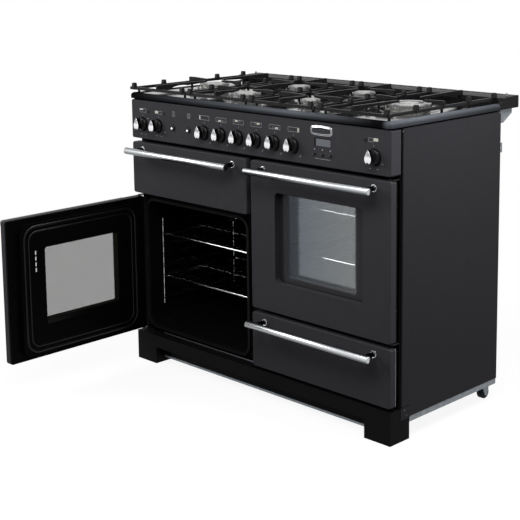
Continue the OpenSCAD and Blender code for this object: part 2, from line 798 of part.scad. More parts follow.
// Flame crown: a ring with a row of ports cut in its top edge
module crown(r0, r1, h, ports) {
    difference() {
        rotate_extrude() polygon([
            [r0, 0], [r1 - 3, 0], [r1 - 1, h * 0.45], [r1, h * 0.55], [r1, h], [r0, h]
        ]);
        for (i = [0:ports - 1])
            rotate([0, 0, i * 360 / ports])
                translate([r1 - 7, -port_w / 2, h - 4]) cube([12, port_w, 4 + lift]);
    }
}
module burner_heads() {
    color([0.68, 0.68, 0.67]) {
        for (b = BURNERS)
            translate([b[0], b[1], deck_z + 3]) crown(b[2] * 0.35, b[2] - 3, head_h, 24);
        translate([WOK[0], WOK[1], deck_z + 3]) {
            crown(WOK[2] - 20, WOK[2] - 3, head_h, 32);
            crown(wok_inner_r * 0.35, wok_inner_r - 3, head_h, 16);
        }
    }
}

// Enamelled cap with a rounded rim and a spigot that drops into the crown
module cap(r) {
    rotate_extrude() {
        square([r - 2.5, cap_t]);
        square([r, cap_t - 2.5]);
        translate([r - 2.5, cap_t - 2.5]) circle(2.5);
        translate([0, -3]) square([r * 0.3, 3 + lift]);
    }
}
module burner_caps() {
    color([0.04, 0.04, 0.045]) {
        for (b = BURNERS) translate([b[0], b[1], cap_top - cap_t]) cap(b[2]);
        translate([WOK[0], WOK[1], cap_top - cap_t]) {
            cap(wok_inner_r);
            rotate_extrude() {
                translate([WOK[2] - 22, 0]) square([22 - 2.5, cap_t]);
                translate([WOK[2] - 22, 0]) square([22, cap_t - 2.5]);
                translate([WOK[2] - 2.5, cap_t - 2.5]) circle(2.5);
            }
        }
    }
}

// Gas rail behind the fascia with a tap for each knob, feed pipe and threaded inlet
module gas_manifold() {
    inlet_y1 = cabinet_d + back_t + inlet_l;
    color([0.72, 0.62, 0.36]) {
        rod_x([KNOB_X[2] - rail_end, manifold_y, knob_axis_z], gas_x - KNOB_X[2] + rail_end, manifold_r);
        for (i = [2:7]) {
            rod_y([KNOB_X[i], valve_y, knob_axis_z], manifold_y - valve_y, tap_r);
            rod_y([KNOB_X[i], panel_skin, knob_axis_z], valve_y - panel_skin + lift, nut_r);
        }
        translate([gas_x, manifold_y, knob_axis_z]) sphere(manifold_r);
        rod_y([gas_x, manifold_y, knob_axis_z], riser_y - manifold_y, pipe_r);
        translate([gas_x, riser_y, knob_axis_z]) sphere(pipe_r);
        translate([gas_x, riser_y, knob_axis_z]) cylinder(h = gas_z - knob_axis_z, r = pipe_r);
        translate([gas_x, riser_y, gas_z]) sphere(pipe_r);
        rod_y([gas_x, riser_y, gas_z], inlet_y1 - riser_y, pipe_r);
        // flange behind the back panel and the threaded inlet
        rod_y([gas_x, cabinet_d + back_t - sheet_t - flange_l, gas_z], flange_l, gas_hole_r + 4);
        rod_y([gas_x, inlet_y1 - thread_l, gas_z], thread_l, thread_r);
    }
}

// ---------------------------------------------------------------- chambers

// Enamelled box open to the front, with a lip that lies on the front frame
module liner(m, depth, r) {
    difference() {
        union() {
            front_on(frame_y - liner_lip, depth + liner_lip, m[0], mouth_cz(m))
                rrect(mouth_w + 2 * liner_t, mouth_h(m) + 2 * liner_t, r + liner_t);
            front_on(frame_y - liner_lip, liner_lip, m[0], mouth_cz(m))
                rrect(mouth_w + 2 * seal_w + 6, mouth_h(m) + 2 * seal_w + 6, r + seal_w + 3);
        }
        front_on(frame_y - liner_lip - 1, depth + 1 + liner_lip - liner_t, m[0], mouth_cz(m))
            rrect(mouth_w, mouth_h(m), r);
    }
}
module left_oven_liner() { color([0.03, 0.03, 0.033]) liner(left_mouth, oven_depth, mouth_r); }
module right_oven_liner() { color([0.03, 0.03, 0.033]) liner(right_mouth, oven_depth, mouth_r); }
module grill_liner() { color([0.03, 0.03, 0.033]) liner(grill_mouth, grill_depth, grill_r); }

// Woven door seals, one round each mouth
module oven_seals() {
    color([0.1, 0.1, 0.1])
        for (m = [left_mouth, right_mouth])
            front_on(seal_y1 - seal_t, seal_t, m[0], mouth_cz(m)) difference() {
                rrect(mouth_w + 2 * seal_w, mouth_h(m) + 2 * seal_w, mouth_r + seal_w);
                rrect(mouth_w, mouth_h(m), mouth_r);
            }
}

// Height of one shelf position in a chamber, at the shelf frame wire's axis
function level_z(m, i) = m[1] + shelf_z0 + i * shelf_pitch;

// Wire ladder hooked on a chamber wall, drawn on the right of a mouth
module ladder() {
    z0 = shelf_z0 - 24;
    z1 = shelf_z0 + (ladder_levels - 1) * shelf_pitch + 18;
    for (y = ladder_y) translate([0, y, z0]) cylinder(h = z1 - z0, r = ladder_r);
    for (i = [0:ladder_levels - 1], k = [-1, 1])
        rod_y([-rung_in, ladder_y[0] - 6, shelf_z0 + i * shelf_pitch + k * rung_dz],
            ladder_y[1] - ladder_y[0] + 12, ladder_r);
    // pegs into the chamber wall
    for (y = ladder_y, z = [z0 + 8, z1 - 8])
        rod_x([0, y, z], mouth_w / 2 - ladder_x - lift, ladder_r);
}
module shelf_ladders() {
    color([0.75, 0.75, 0.76])
        for (m = [left_mouth, right_mouth], s = [-1, 1])
            translate([m[0] + s * ladder_x, 0, m[1]]) mirror([s > 0 ? 0 : 1, 0, 0]) ladder();
}

// Wire shelf: a frame wire bent round the corners, a middle wire and front-to-back wires on top
module wire_shelf(cx, z) {
    hw = shelf_half;
    y0 = shelf_front_y;
    y1 = shelf_back_y;
    top = shelf_r + grid_r * 0.6;
    translate([cx, 0, z]) {
        for (x = [-hw, hw]) rod_y([x, y0 + shelf_bend, 0], y1 - y0 - 2 * shelf_bend, shelf_r);
        for (y = [y0, y1]) rod_x([-hw + shelf_bend, y, 0], 2 * (hw - shelf_bend), shelf_r);
        // corners: start angle of each quarter bend
        for (c = [[-1, y0, 180], [1, y0, 270], [1, y1, 0], [-1, y1, 90]])
            translate([c[0] * (hw - shelf_bend), c[1] + (c[1] == y0 ? shelf_bend : -shelf_bend), 0])
                rotate([0, 0, c[2]]) rotate_extrude(angle = 90) translate([shelf_bend, 0]) circle(shelf_r);
        rod_x([-hw, (y0 + y1) / 2, top - 1.8 * grid_r], 2 * hw, grid_r);
        for (i = [1:shelf_wires])
            rod_y([-hw + i * 2 * hw / (shelf_wires + 1), y0 - 1, top], y1 - y0 + 2, grid_r);
    }
}
module oven_shelf(k) {
    color([0.78, 0.78, 0.79])
        wire_shelf(left_mouth[0], level_z(left_mouth, LEFT_SHELF_LEVELS[k]));
}
module oven_shelf_upper() { oven_shelf(0); }
module oven_shelf_lower() { oven_shelf(1); }
module right_oven_shelves() {
    color([0.78, 0.78, 0.79])
        for (i = RIGHT_SHELF_LEVELS) wire_shelf(right_mouth[0], level_z(right_mouth, i));
}

// Pressed covers in front of the oven fans
module fan_covers() {
    depth = 24;
    y1 = frame_y + oven_depth - liner_t;
    w = mouth_w - 2 * cover_side;
    h = mouth_h(left_mouth) - 2 * cover_end;
    color([0.05, 0.05, 0.055])
        for (m = [left_mouth, right_mouth]) difference() {
            front_on(y1 - depth, depth, m[0], mouth_cz(m)) rrect(w, h, 24);
            front_on(y1 - depth + sheet_t, depth, m[0], mouth_cz(m))
                rrect(w - 2 * sheet_t, h - 2 * sheet_t, 24 - sheet_t);
            // two rings of air holes: how many, and the ring's radius
            for (ring = [[12, h * 0.24], [6, h * 0.115]], i = [1:ring[0]]) let (a = i * 360 / ring[0])
                rod_y([m[0] + ring[1] * cos(a), y1 - depth - 1, mouth_cz(m) + ring[1] * sin(a)], 4, 7);
        }
}

// Grill: a slotted burner box under the chamber's roof
module grill_burner() {
    w = mouth_w - 2 * burner_side;
    y0 = frame_y + burner_front;
    d = grill_depth - burner_front - burner_rear;
    z1 = grill_mouth[2];
    color([0.55, 0.55, 0.56])
        translate([grill_mouth[0] - w / 2, y0, z1 - 16]) difference() {
            cube([w, d, 16]);
            translate([10, 10, -1]) cube([w - 20, d - 20, 8]);
            for (i = [0:9]) translate([28 + i * (w - 62) / 9, 20, 5]) cube([6, d - 40, 6]);
        }
}

// Grill pan on the chamber's floor, with its wire trivet
module grill_pan() {
    w = mouth_w - 2 * pan_side;
    y0 = frame_y + pan_front;
    d = grill_depth - pan_front - pan_rear;
    h = 34;
    z0 = grill_mouth[1] + seat_gap / 3;
    color([0.06, 0.06, 0.065]) {
        translate([grill_mouth[0], y0 + d / 2, z0]) {
            difference() {
                linear_extrude(h) rrect(w, d, 14);
                translate([0, 0, sheet_t]) linear_extrude(h) rrect(w - 2 * sheet_t, d - 2 * sheet_t, 12.5);
            }
            translate([0, 0, h - sheet_t]) linear_extrude(sheet_t) rring(w + 16, d + 16, 20, 9.5);
            // trivet
            for (x = [-1, 1]) rod_y([x * (w / 2 - 24), -d / 2 + 16, sheet_t + 12], d - 32, 2.5);
            for (i = [0:10])
                rod_x([-w / 2 + 20, -d / 2 + 24 + i * (d - 48) / 10, sheet_t + 15], w - 40, 1.8);
            for (x = [-1, 1], y = [-1, 1])
                translate([x * (w / 2 - 24), y * (d / 2 - 40), sheet_t - lift]) cylinder(h = 12, r = 2.5);
        }
    }
}

// ---------------------------------------------------------------- controls and small parts

// Clock module with its window, neon lamps, oven thermostats and push switches
module control_modules() {
    color([0.05, 0.06, 0.06]) {
        // window of the clock, let into the fascia, and the module behind it
        front_on(glass_set, panel_skin - glass_set + lift, clock_x, clock_z)
            rrect(clock_w - seat_gap, clock_h - seat_gap, 2);
        front_on(panel_skin, module_d, clock_x, clock_z)
            rrect(clock_w + 2 * clock_rim, clock_h + 2 * clock_rim, 3);
        difference() {
            translate([clock_x - clock_w * 0.8, module_y, clock_button_z - 2 * clock_rim])
                cube([clock_w * 1.6, module_d, clock_z + clock_h / 2 + 3 * clock_rim - clock_button_z]);
            for (x = CLOCK_BUTTON_X)
                rod_y([x, module_y - 1, clock_button_z], stem_in + button_travel + 2,
                    clock_button_r + button_fit);
        }
        // neon lamps
        for (x = LAMP_X) {
            rod_y([x, 0, lamp_z], module_d, lamp_r - pin_clear);
            translate([x, 0, lamp_z]) sphere(lamp_r - pin_clear);
        }
        // oven thermostats
        for (x = [KNOB_X[0], KNOB_X[1], KNOB_X[8]]) {
            rod_y([x, panel_skin, knob_axis_z], nut_t, nut_r);
            translate([x - thermostat[0] / 2, panel_skin + nut_t - lift, knob_axis_z - thermostat[2] / 2])
                cube(thermostat);
        }
        // push switches
        for (x = BUTTON_X) difference() {
            translate([x - switch_w / 2, module_y, knob_axis_z - switch_w / 2])
                cube([switch_w, switch_d, switch_w]);
            rod_y([x, module_y - 1, knob_axis_z], stem_in + button_travel + 2, button_r - 2 + button_fit);
        }
        for (x = BUTTON_X, k = [-1, 1])
            rod_y([x + k * (switch_w / 2 - 2), panel_skin, knob_axis_z + k * (switch_w / 2 - 2)],
                module_y - panel_skin + lift, 1.5);
    }
}

// Hinge brackets fixed to the front frame, each with its pin
module hinge_brackets() {
    color([0.62, 0.63, 0.64]) {
        for (z = [doors_z0, left_z1]) side_hinge(-1, z, z == doors_z0 ? -1 : 1);
        for (z = [right_z0, doors_z1]) side_hinge(1, z, z == right_z0 ? -1 : 1);
        for (s = [-1, 1]) grill_hinge(s);
    }
}
module side_hinge(s, z, up) {
    zp = up > 0 ? z + hinge_plate_z : z - hinge_plate_z - bracket_t;
    translate([s * hinge_x, hinge_y, 0]) {
        translate([0, 0, zp]) linear_extrude(bracket_t) {
            circle(6);
            translate([s > 0 ? -14 : -6, 0]) square([20, frame_y - hinge_y]);
        }
        translate([0, 0, up > 0 ? z - pin_reach : zp])
            cylinder(h = pin_reach + hinge_plate_z + bracket_t, r = hinge_pin_r);
    }
}

module grill_hinge(s) {
    x = -door_cx + s * (door_w / 2 - notch_in - notch_w / 2);
    side_on(x - bracket_t / 2, bracket_t) {
        translate([grill_hinge_y, grill_hinge_z]) circle(5);
        translate([grill_hinge_y, grill_hinge_z - 4]) square([frame_y - grill_hinge_y, 8]);
    }
    rod_x([x - grill_pin_l / 2, grill_hinge_y, grill_hinge_z], grill_pin_l, hinge_pin_r);
}

// Panel screws and the conical stud on the flue trim
module screws_and_studs() {
    color([0.3, 0.3, 0.31]) {
        for (s = [-1, 1]) {
            // screw at each side panel's top front corner
            screw(s, side_y + 6, panel_z1 - 8);
            screw(s, foot_d - foot_screw[0], plinth_h - foot_screw[1]);
        }
        translate([stud_x, stud_y, flue_top(stud_y) + seat_gap / 3])
            cylinder(h = flue_rise * 0.45, r1 = 5, r2 = 1.6);
    }
}
function flue_top(y) = flue_z - 1 + (y - flue_y - 22) / (hob_d - 1.5 - flue_y - 22);
module screw(s, y, z) {
    translate([s * half_w, y, z]) rotate([0, s * 90, 0]) {
        cylinder(h = 1.4, r1 = 3.2, r2 = 2.2);
    }
}

// ---------------------------------------------------------------- doors

// Tubular handle on two collared posts, centred on x = 0 with its axis at z = 0
module bar_handle() {
    collar_r = handle_r - 1;
    tip = 4;
    color([0.75, 0.75, 0.76]) {
        translate([0, -handle_off, 0]) rotate([0, 90, 0]) rotate_extrude() polygon([
            [0, -handle_l / 2], [handle_r - 3, -handle_l / 2], [handle_r, -handle_l / 2 + tip],
            [handle_r, -handle_l / 2 + ferrule_l], [handle_r - 0.6, -handle_l / 2 + ferrule_l + 1],
            [handle_r - 0.6, handle_l / 2 - ferrule_l - 1], [handle_r, handle_l / 2 - ferrule_l],
            [handle_r, handle_l / 2 - tip], [handle_r - 3, handle_l / 2], [0, handle_l / 2]
        ]);
        for (x = [-1, 1]) translate([x * post_pitch / 2, 0, 0]) {
            rod_y([0, -handle_off, 0], handle_off - lift, handle_r * 0.62);
            rod_y([0, -9, 0], 9 - lift, collar_r);
            rod_y([0, -handle_off + handle_r - 3, 0], 8, collar_r * 0.85);
        }
    }
}

// Outer skin of an oven door about its own centre, with the window recess
module door_skin(h) {
    color([0.14, 0.135, 0.14]) difference() {
        soft_pan(door_w, h, door_t - back_skin, front_r, sheet_t);
        front_on(-1, 8, 0, window_rise) rrect(window_w, window_h, 15);
    }
    // return flange round the recess
    color([0.14, 0.135, 0.14])
        front_on(sheet_t, window_d - sheet_t - seat_gap / 3, 0, window_rise)
            rring(window_w + 2 * sheet_t, window_h + 2 * sheet_t, 15 + sheet_t, sheet_t);
}

// Space inside the shallow tray that closes the back of a door, drawn about the door's centre
module skin_hollow(h) {
    front_on(door_t - back_skin - 1, back_skin + 1 - sheet_t)
        rrect(door_w - 1 - 2 * sheet_t, h - 1 - 2 * sheet_t, front_r - 1 - sheet_t);
}

// Inner skin with the plug that fills the oven mouth; the window is cut right through
module door_inner(h, mouth_height) {
    w = mouth_w - 2 * plug_gap;
    ph = mouth_height - 2 * plug_gap;
    t = sheet_t;
    color([0.04, 0.04, 0.045]) difference() {
        union() {
            front_on(door_t - back_skin, back_skin) rrect(door_w - 1, h - 1, front_r - 1);
            front_on(door_t - lift, plug_d) rrect(w, ph, mouth_r - plug_gap);
        }
        // hollow between the skins
        skin_hollow(h);
        front_on(door_t - back_skin - 1, plug_d + back_skin + 1 - t)
            rrect(w - 2 * t, ph - 2 * t, mouth_r - plug_gap - t);
        front_on(0, door_t + plug_d + 1, 0, window_rise) rrect(inner_window_w, inner_window_h, 8);
        // vent slots on both sides of the window
        for (s = [-1, 1], k = [0:3])
            front_on(door_t, plug_d + 1, s * vent_x, inner_window_h / 4 + k * 18) rrect(5, 13, 2.4);
        // cooling slots along the lower edge
        for (k = [-3:3])
            translate([k * 66 - 22, door_t - back_skin / 2 - 1, -h / 2]) cube([44, 2, 8]);
    }
}

// The two panes: one behind the recess, one behind the plug's window
module door_panes() {
    color([0.2, 0.21, 0.22, 0.5]) {
        front_on(window_d, glass_t, 0, window_rise) rrect(window_w + 2 * sheet_t + 8, window_h + 12, 12);
        front_on(door_t + plug_d - sheet_t - glass_t - seat_gap / 3, glass_t, 0, window_rise)
            rrect(inner_window_w + 30, inner_window_h + 30, 8);
    }
}

// Places a left-hand door: drawn shut about its centre, swung open about its hinge axis
module left_place() {
    translate([-hinge_x, hinge_y, 0]) rotate([0, 0, -90]) translate([hinge_x, -hinge_y, 0])
        translate([-door_cx, 0, (doors_z0 + left_z1) / 2]) children();
}
module right_place() {
    translate([door_cx, 0, (right_z0 + doors_z1) / 2]) children();
}
// Bores for the hinge pins near one side edge, s = -1 left, 1 right
module pin_bores(s, h) {
    for (z = [-h / 2 - 1, h / 2 - bore_l])
        translate([s * (door_w / 2 - hinge_inset), hinge_y, z])
            cylinder(h = bore_l + 1, r = hinge_pin_r + pin_clear);
}

module left_door_panel() { left_place() skin_with_bores(-1, left_h); }
module right_door_panel() { right_place() skin_with_bores(1, right_h); }
module skin_with_bores(s, h) {
    difference() {
        union() {
            door_skin(h);
            // hinge blocks welded into the corners
            color([0.14, 0.135, 0.14]) for (k = [-1, 1])
                translate([s * (door_w / 2 - hinge_inset) - 6.5, hinge_y - 5.5, k * (h / 2 - 7) - 6])
                    cube([13, 11, 12]);
        }
        pin_bores(s, h);
    }
}
module left_door_inner() { left_place() door_inner(left_h, mouth_h(left_mouth)); }
module right_door_inner() { right_place() door_inner(right_h, mouth_h(right_mouth)); }
module left_door_glass() { left_place() door_panes(); }
module right_door_glass() { right_place() door_panes(); }
module left_door_handle() { left_place() translate([0, 0, left_h / 2 - handle_drop]) bar_handle(); }
module right_door_handle() { right_place() translate([0, 0, right_h / 2 - handle_drop]) bar_handle(); }

// Grill door: double-skinned flap that drops about pins in two notches at its lower corners
module grill_door_panel() {
    y1 = door_t - back_skin;
    color([0.14, 0.135, 0.14]) difference() {
        translate([-door_cx, 0, (grill_z0 + doors_z1) / 2]) {
            soft_pan(door_w, grill_h, y1, front_r, sheet_t);
            difference() {
                front_on(y1 - lift, back_skin) rrect(door_w - 1, grill_h - 1, front_r - 1);
                skin_hollow(grill_h);
            }
            // hinge blocks in the lower corners
            for (s = [-1, 1])
                translate([s * (door_w / 2 - 13) - 12, grill_hinge_y - 7, -grill_h / 2 + 1])
                    cube([24, door_t - 1 - grill_hinge_y + 7, 14]);
        }
        for (s = [-1, 1]) {
            xn = -door_cx + s * (door_w / 2 - notch_in - notch_w / 2);
            translate([xn - notch_w / 2, grill_hinge_y - 7.5, grill_z0 - 1]) cube([notch_w, door_t, 16]);
            rod_x([xn - grill_pin_l / 2 - 0.5, grill_hinge_y, grill_hinge_z], grill_pin_l + 1,
                hinge_pin_r + pin_clear);
        }
    }
}
module grill_door_handle() {
    translate([-door_cx, 0, doors_z1 - handle_drop]) bar_handle();
}

// Storage drawer
module drawer_front() {
    color([0.14, 0.135, 0.14]) translate([door_cx, 0, (doors_z0 + drawer_z1) / 2])
        soft_pan(door_w, drawer_h, door_t - back_skin, front_r, sheet_t);
}
module drawer_handle() {
    translate([door_cx, 0, drawer_z1 - handle_drop]) bar_handle();
}
module drawer_box() {
    w = 2 * drawer_half;
    z0 = drawer_mouth[1] + drawer_lift;
    h = runner_z - z0 + drawer_rim;
    t = drawer_wall;
    y0 = door_t - back_skin;
    color([0.6, 0.61, 0.62]) {
        // face plate that closes the front's back
        front_on(y0, face_t, door_cx, (doors_z0 + drawer_z1) / 2)
            rrect(door_w - 1, drawer_h - 1, front_r - 1);
        translate([door_cx - w / 2, y0 + face_t - lift, z0]) difference() {
            cube([w, drawer_depth, h]);
            translate([t, t, t]) cube([w - 2 * t, drawer_depth - 2 * t, h]);
        }
        // side flanges that run in the channels
        for (s = [-1, 1])
            translate([door_cx + s * (w + slide_w) / 2 - slide_w / 2, frame_back + 4, slide_z])
                cube([slide_w, drawer_depth - frame_back + 12, slide_t]);
    }
}

// ---------------------------------------------------------------- moving controls

// Knob: black skirted body, raised grip and a chrome teardrop face
module knob(i) {
    x = KNOB_X[i - 1];
    grip_y = knob_reach - knob_gap - skirt_t;
    color([0.05, 0.05, 0.055]) translate([x, 0, knob_axis_z]) {
        // skirt
        translate([0, -knob_gap, 0]) rotate([90, 0, 0]) rotate_extrude() polygon([
            [0, 0], [knob_r - 1, 0], [knob_r, 2], [knob_r, 5], [knob_r - 2, skirt_t - 2],
            [knob_r - 4.5, skirt_t], [0, skirt_t]
        ]);
        // grip, waisted above the skirt
        translate([0, -knob_gap - skirt_t + lift, knob_rise]) rotate([90, 0, 0]) {
            linear_extrude(grip_y * 0.4) leaf(knob_r * 0.85, knob_r * 1.35);
            translate([0, 0, grip_y * 0.35]) linear_extrude(grip_y * 0.65) leaf(knob_r * 1.1, knob_r * 1.65);
        }
        // raised leaf
        translate([0, -knob_reach + 0.5 + lift, knob_rise]) rotate([90, 0, 0])
            linear_extrude(1.5) leaf(knob_r * 0.87, knob_r * 1.44);
        // spindle
        rod_y([0, -knob_gap - lift, 0], knob_gap + panel_skin - seat_gap, spindle_r);
    }
}
// Leaf outline of a given width and height: round below, drawn to a point above
module leaf(w, h) {
    polygon([
        for (a = [0:12:348]) let (lobe = pow((1 - cos(a)) / 2, 0.6))
            [lobe * sin(a) * w / 1.5, cos(a) * h / 2]
    ]);
}
module knob_1() { knob(1); }
module knob_2() { knob(2); }
module knob_3() { knob(3); }
module knob_4() { knob(4); }
module knob_5() { knob(5); }
module knob_6() { knob(6); }
module knob_7() { knob(7); }
module knob_8() { knob(8); }
module knob_9() { knob(9); }

// Round push button with a chrome rim, and its stem behind the panel
module push_button(i) {
    color([0.7, 0.7, 0.71]) translate([BUTTON_X[i - 1], 0, knob_axis_z]) rotate([90, 0, 0])
        rotate_extrude() polygon([
            [0, -module_y - stem_in], [button_r - 2, -module_y - stem_in], [button_r - 2, -panel_skin - 2],
            [button_r, -panel_skin - 2],
            [button_r, button_reach - 1], [button_r - 1, button_reach], [button_r - 2.5, button_reach],
            [button_r - 3, button_reach - 1], [0, button_reach - 1]
        ]);
}
module push_button_1() { push_button(1); }
module push_button_2() { push_button(2); }

module clock_button(i) {
    r = clock_button_r;
    color([0.7, 0.7, 0.71]) translate([CLOCK_BUTTON_X[i - 1], 0, clock_button_z]) rotate([90, 0, 0])
        rotate_extrude() polygon([
            [0, -module_y - stem_in], [r, -module_y - stem_in], [r, clock_button_reach - 1],
            [r - 1, clock_button_reach], [0, clock_button_reach]
        ]);
}
module clock_button_1() { clock_button(1); }
module clock_button_2() { clock_button(2); }
module clock_button_3() { clock_button(3); }

// Rubber-tyred rear roller
module roller(s) {
    color([0.05, 0.05, 0.055]) translate([s * roller_x - roller_w / 2, roller_y, roller_r])
        rotate([0, 90, 0]) difference() {
            rotate_extrude() polygon([
                [0, 0], [roller_r - 2, 0], [roller_r, 2], [roller_r, roller_w - 2],
                [roller_r - 2, roller_w], [0, roller_w]
            ]);
            translate([0, 0, -1]) cylinder(h = roller_w + 2, r = axle_r + pin_clear);
        }
}
module rear_roller_left() { roller(-1); }
module rear_roller_right() { roller(1); }

// ---------------------------------------------------------------- pan supports

// Side view of one finger: u runs inwards from the rail, v up from the rail's foot
module finger_profile(l) {
    top = rail_h + lug_h;
    block = rail_w * 2;
    difference() {
        polygon([
            [0, 0], [rail_w + 2, 0], [block, rail_h - 2], [l - 10, rail_h + 5], [l, rail_h + 6],
            [l, top - 4], [l - 4, top - 2], [block * 1.4, top], [2, top], [0, top - 2]
        ]);
        translate([block + (l - block) * 0.42, -l * 0.62]) circle(l * 0.62 + rail_h + 5);
    }
}
// Finger of length l from a rail at p, pointing along angle a
module finger(p, a, l) {
    translate([p[0], p[1], support_z]) rotate([0, 0, a]) translate([0, finger_w / 2, 0])
        rotate([90, 0, 0]) linear_extrude(finger_w) finger_profile(l);
}
// Rail of length l along +X, its top edges eased
module rail(l) {
    ease = 1.5;
    w = rail_w / 2;
    rotate([90, 0, 90]) linear_extrude(l) polygon([
        [-w, 0], [w, 0], [w, rail_h - ease], [w - ease, rail_h], [-w + ease, rail_h], [-w, rail_h - ease]
    ]);
}
// Upstanding lug, square and slightly tapered
module lug(x, y) {
    translate([x, y, support_z]) intersection() {
        lug_wedge();
        rotate([0, 0, 90]) lug_wedge();
    }
}
module lug_wedge() {
    ease = 1.2;
    h = rail_h + lug_h;
    b = lug_w / 2;
    c = b - 1;
    translate([0, b, 0]) rotate([90, 0, 0]) linear_extrude(lug_w) polygon([
        [-b, 0], [b, 0], [b, rail_h], [c, h - ease],
        [c - ease, h], [ease - c, h], [-c, h - ease], [-b, rail_h]
    ]);
}

// One cast pan support; burners is a list of burner centres and head radii inside it
module pan_support(k, burners) {
    x0 = -half_w + (k - 1) * support_pitch;
    x1 = x0 + support_w;
    half = rail_w / 2;
    y0 = support_y0 + half;
    y1 = support_y1 - half;
    double = len(burners) > 1;
    start = rail_in - half - 1;
    leg_in = rail_in + half;
    color([0.1, 0.1, 0.105]) {
        // front and back rails run the whole width, the side rails cross them
        for (y = [y0, y1]) translate([x0, y, support_z]) rail(support_w);
        for (x = [x0 + rail_in, x1 - rail_in])
            translate([x, y0, support_z]) rotate([0, 0, 90]) rail(y1 - y0);
        if (double) translate([x0 + rail_in, support_mid, support_z]) rail(support_w - 2 * rail_in);
        // lugs where the rails cross and along the side rails
        for (x = [x0 + rail_in, x1 - rail_in],
             y = double ? [y0, support_mid, y1] : [y0, support_mid - burner_dy, support_mid + burner_dy, y1])
            lug(x, y);
        // fingers towards each burner
        for (b = burners) {
            reach = b[2] - 12;
            for (s = [-1, 1])
                finger([b[0] + s * (support_w / 2 - start), b[1]], s > 0 ? 180 : 0,
                    support_w / 2 - reach - start);
            ya = double && b[1] > support_mid ? support_mid : support_y0;
            yb = double && b[1] < support_mid ? support_mid : support_y1;
            finger([b[0], ya], 90, b[1] - ya - reach);
            finger([b[0], yb], -90, yb - b[1] - reach);
        }
        // legs down to the deck
        for (x = [x0 + leg_in, x1 - leg_in],
             y = [rim_w - hob_front + 2 * foot_rim_r, support_mid, y1 - half])
            translate([x, y, deck_z + seat_gap / 3])
                cylinder(h = support_z - deck_z, r = foot_rim_r);
    }
}
module pan_support_1() { pan_support(1, [BURNERS[0]]); }
module pan_support_2() { pan_support(2, [BURNERS[1], BURNERS[2]]); }
module pan_support_3() { pan_support(3, [BURNERS[3], BURNERS[4]]); }
module pan_support_4() { pan_support(4, [WOK]); }

// ---------------------------------------------------------------- drawing

side_panel_left();
side_panel_right();
back_panel();
base_chassis();
front_frame();
plinth();
control_panel();
hob_deck();
flue_trim();
burner_bases();
burner_heads();
burner_caps();
gas_manifold();
left_oven_liner();
right_oven_liner();
grill_liner();
oven_seals();
shelf_ladders();
right_oven_shelves();
fan_covers();
grill_burner();
grill_pan();
control_modules();
hinge_brackets();
screws_and_studs();
left_door_panel();
left_door_inner();
left_door_glass();
left_door_handle();
right_door_panel();
right_door_inner();
right_door_glass();
right_door_handle();
grill_door_panel();
grill_door_handle();
drawer_front();
drawer_box();
drawer_handle();
knob_1();
knob_2();
knob_3();
knob_4();
knob_5();
knob_6();
knob_7();
knob_8();
knob_9();
push_button_1();
push_button_2();
clock_button_1();
clock_button_2();
clock_button_3();
pan_support_1();
pan_support_2();
pan_support_3();
pan_support_4();
oven_shelf_upper();
oven_shelf_lower();
rear_roller_left();
rear_roller_right();
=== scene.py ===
"""Range cooker with a double oven: the dressed model, its finishes, the studio and the camera."""
import json
from math import cos, pi, radians, sin

import bmesh
import bpy
from mathutils import Matrix, Vector


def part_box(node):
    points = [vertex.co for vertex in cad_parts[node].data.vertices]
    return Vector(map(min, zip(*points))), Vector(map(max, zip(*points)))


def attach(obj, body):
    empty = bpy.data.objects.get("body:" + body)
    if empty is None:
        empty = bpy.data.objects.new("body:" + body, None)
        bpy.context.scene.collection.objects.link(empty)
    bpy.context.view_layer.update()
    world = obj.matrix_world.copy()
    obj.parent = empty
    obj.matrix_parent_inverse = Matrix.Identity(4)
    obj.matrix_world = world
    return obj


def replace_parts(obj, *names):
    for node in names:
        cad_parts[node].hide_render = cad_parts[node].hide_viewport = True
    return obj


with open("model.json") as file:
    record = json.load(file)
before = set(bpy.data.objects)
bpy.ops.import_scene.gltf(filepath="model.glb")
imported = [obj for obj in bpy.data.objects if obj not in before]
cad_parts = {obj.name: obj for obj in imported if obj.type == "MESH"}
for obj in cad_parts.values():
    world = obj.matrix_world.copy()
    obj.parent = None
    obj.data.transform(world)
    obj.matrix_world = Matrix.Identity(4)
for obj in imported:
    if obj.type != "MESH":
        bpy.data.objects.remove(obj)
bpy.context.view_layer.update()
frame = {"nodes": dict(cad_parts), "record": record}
scene = bpy.context.scene
NODES = frame["nodes"]
MM = 1000  # the shapes are written in mm, the frame is in metres


# ---------------------------------------------------------------- finishes

def tone(r, g, b):
    """A colour as it is seen, 0 to 255, in the shader's own numbers."""
    return tuple(((c / 255 + 0.055) / 1.055) ** 2.4 if c > 10 else c / 3295 for c in (r, g, b)) + (1,)


class Value:
    """A socket that takes part in ordinary arithmetic."""

    def __init__(self, finish, socket):
        self.finish, self.socket = finish, socket

    def maths(self, operation, *terms):
        return self.finish.add("ShaderNodeMath", {"operation": operation}, dict(enumerate(terms)))

    def __add__(self, other):
        return self.maths("ADD", self, other)

    def __sub__(self, other):
        return self.maths("SUBTRACT", self, other)

    def __rsub__(self, other):
        return self.maths("SUBTRACT", other, self)

    def __mul__(self, other):
        return self.maths("MULTIPLY", self, other)

    def __truediv__(self, other):
        return self.maths("DIVIDE", self, other)

    def __pow__(self, other):
        return self.maths("POWER", self, other)

    def __abs__(self):
        return self.maths("ABSOLUTE", self)

    __radd__, __rmul__ = __add__, __mul__

    def top(self, other):
        """The greater of the two."""
        return self.maths("MAXIMUM", self, other)

    def smooth(self, low, high):
        """0 at low, 1 at high, smooth between."""
        return self.finish.add("ShaderNodeMapRange", {"interpolation_type": "SMOOTHSTEP"},
                               {"Value": self, "From Min": low, "From Max": high})


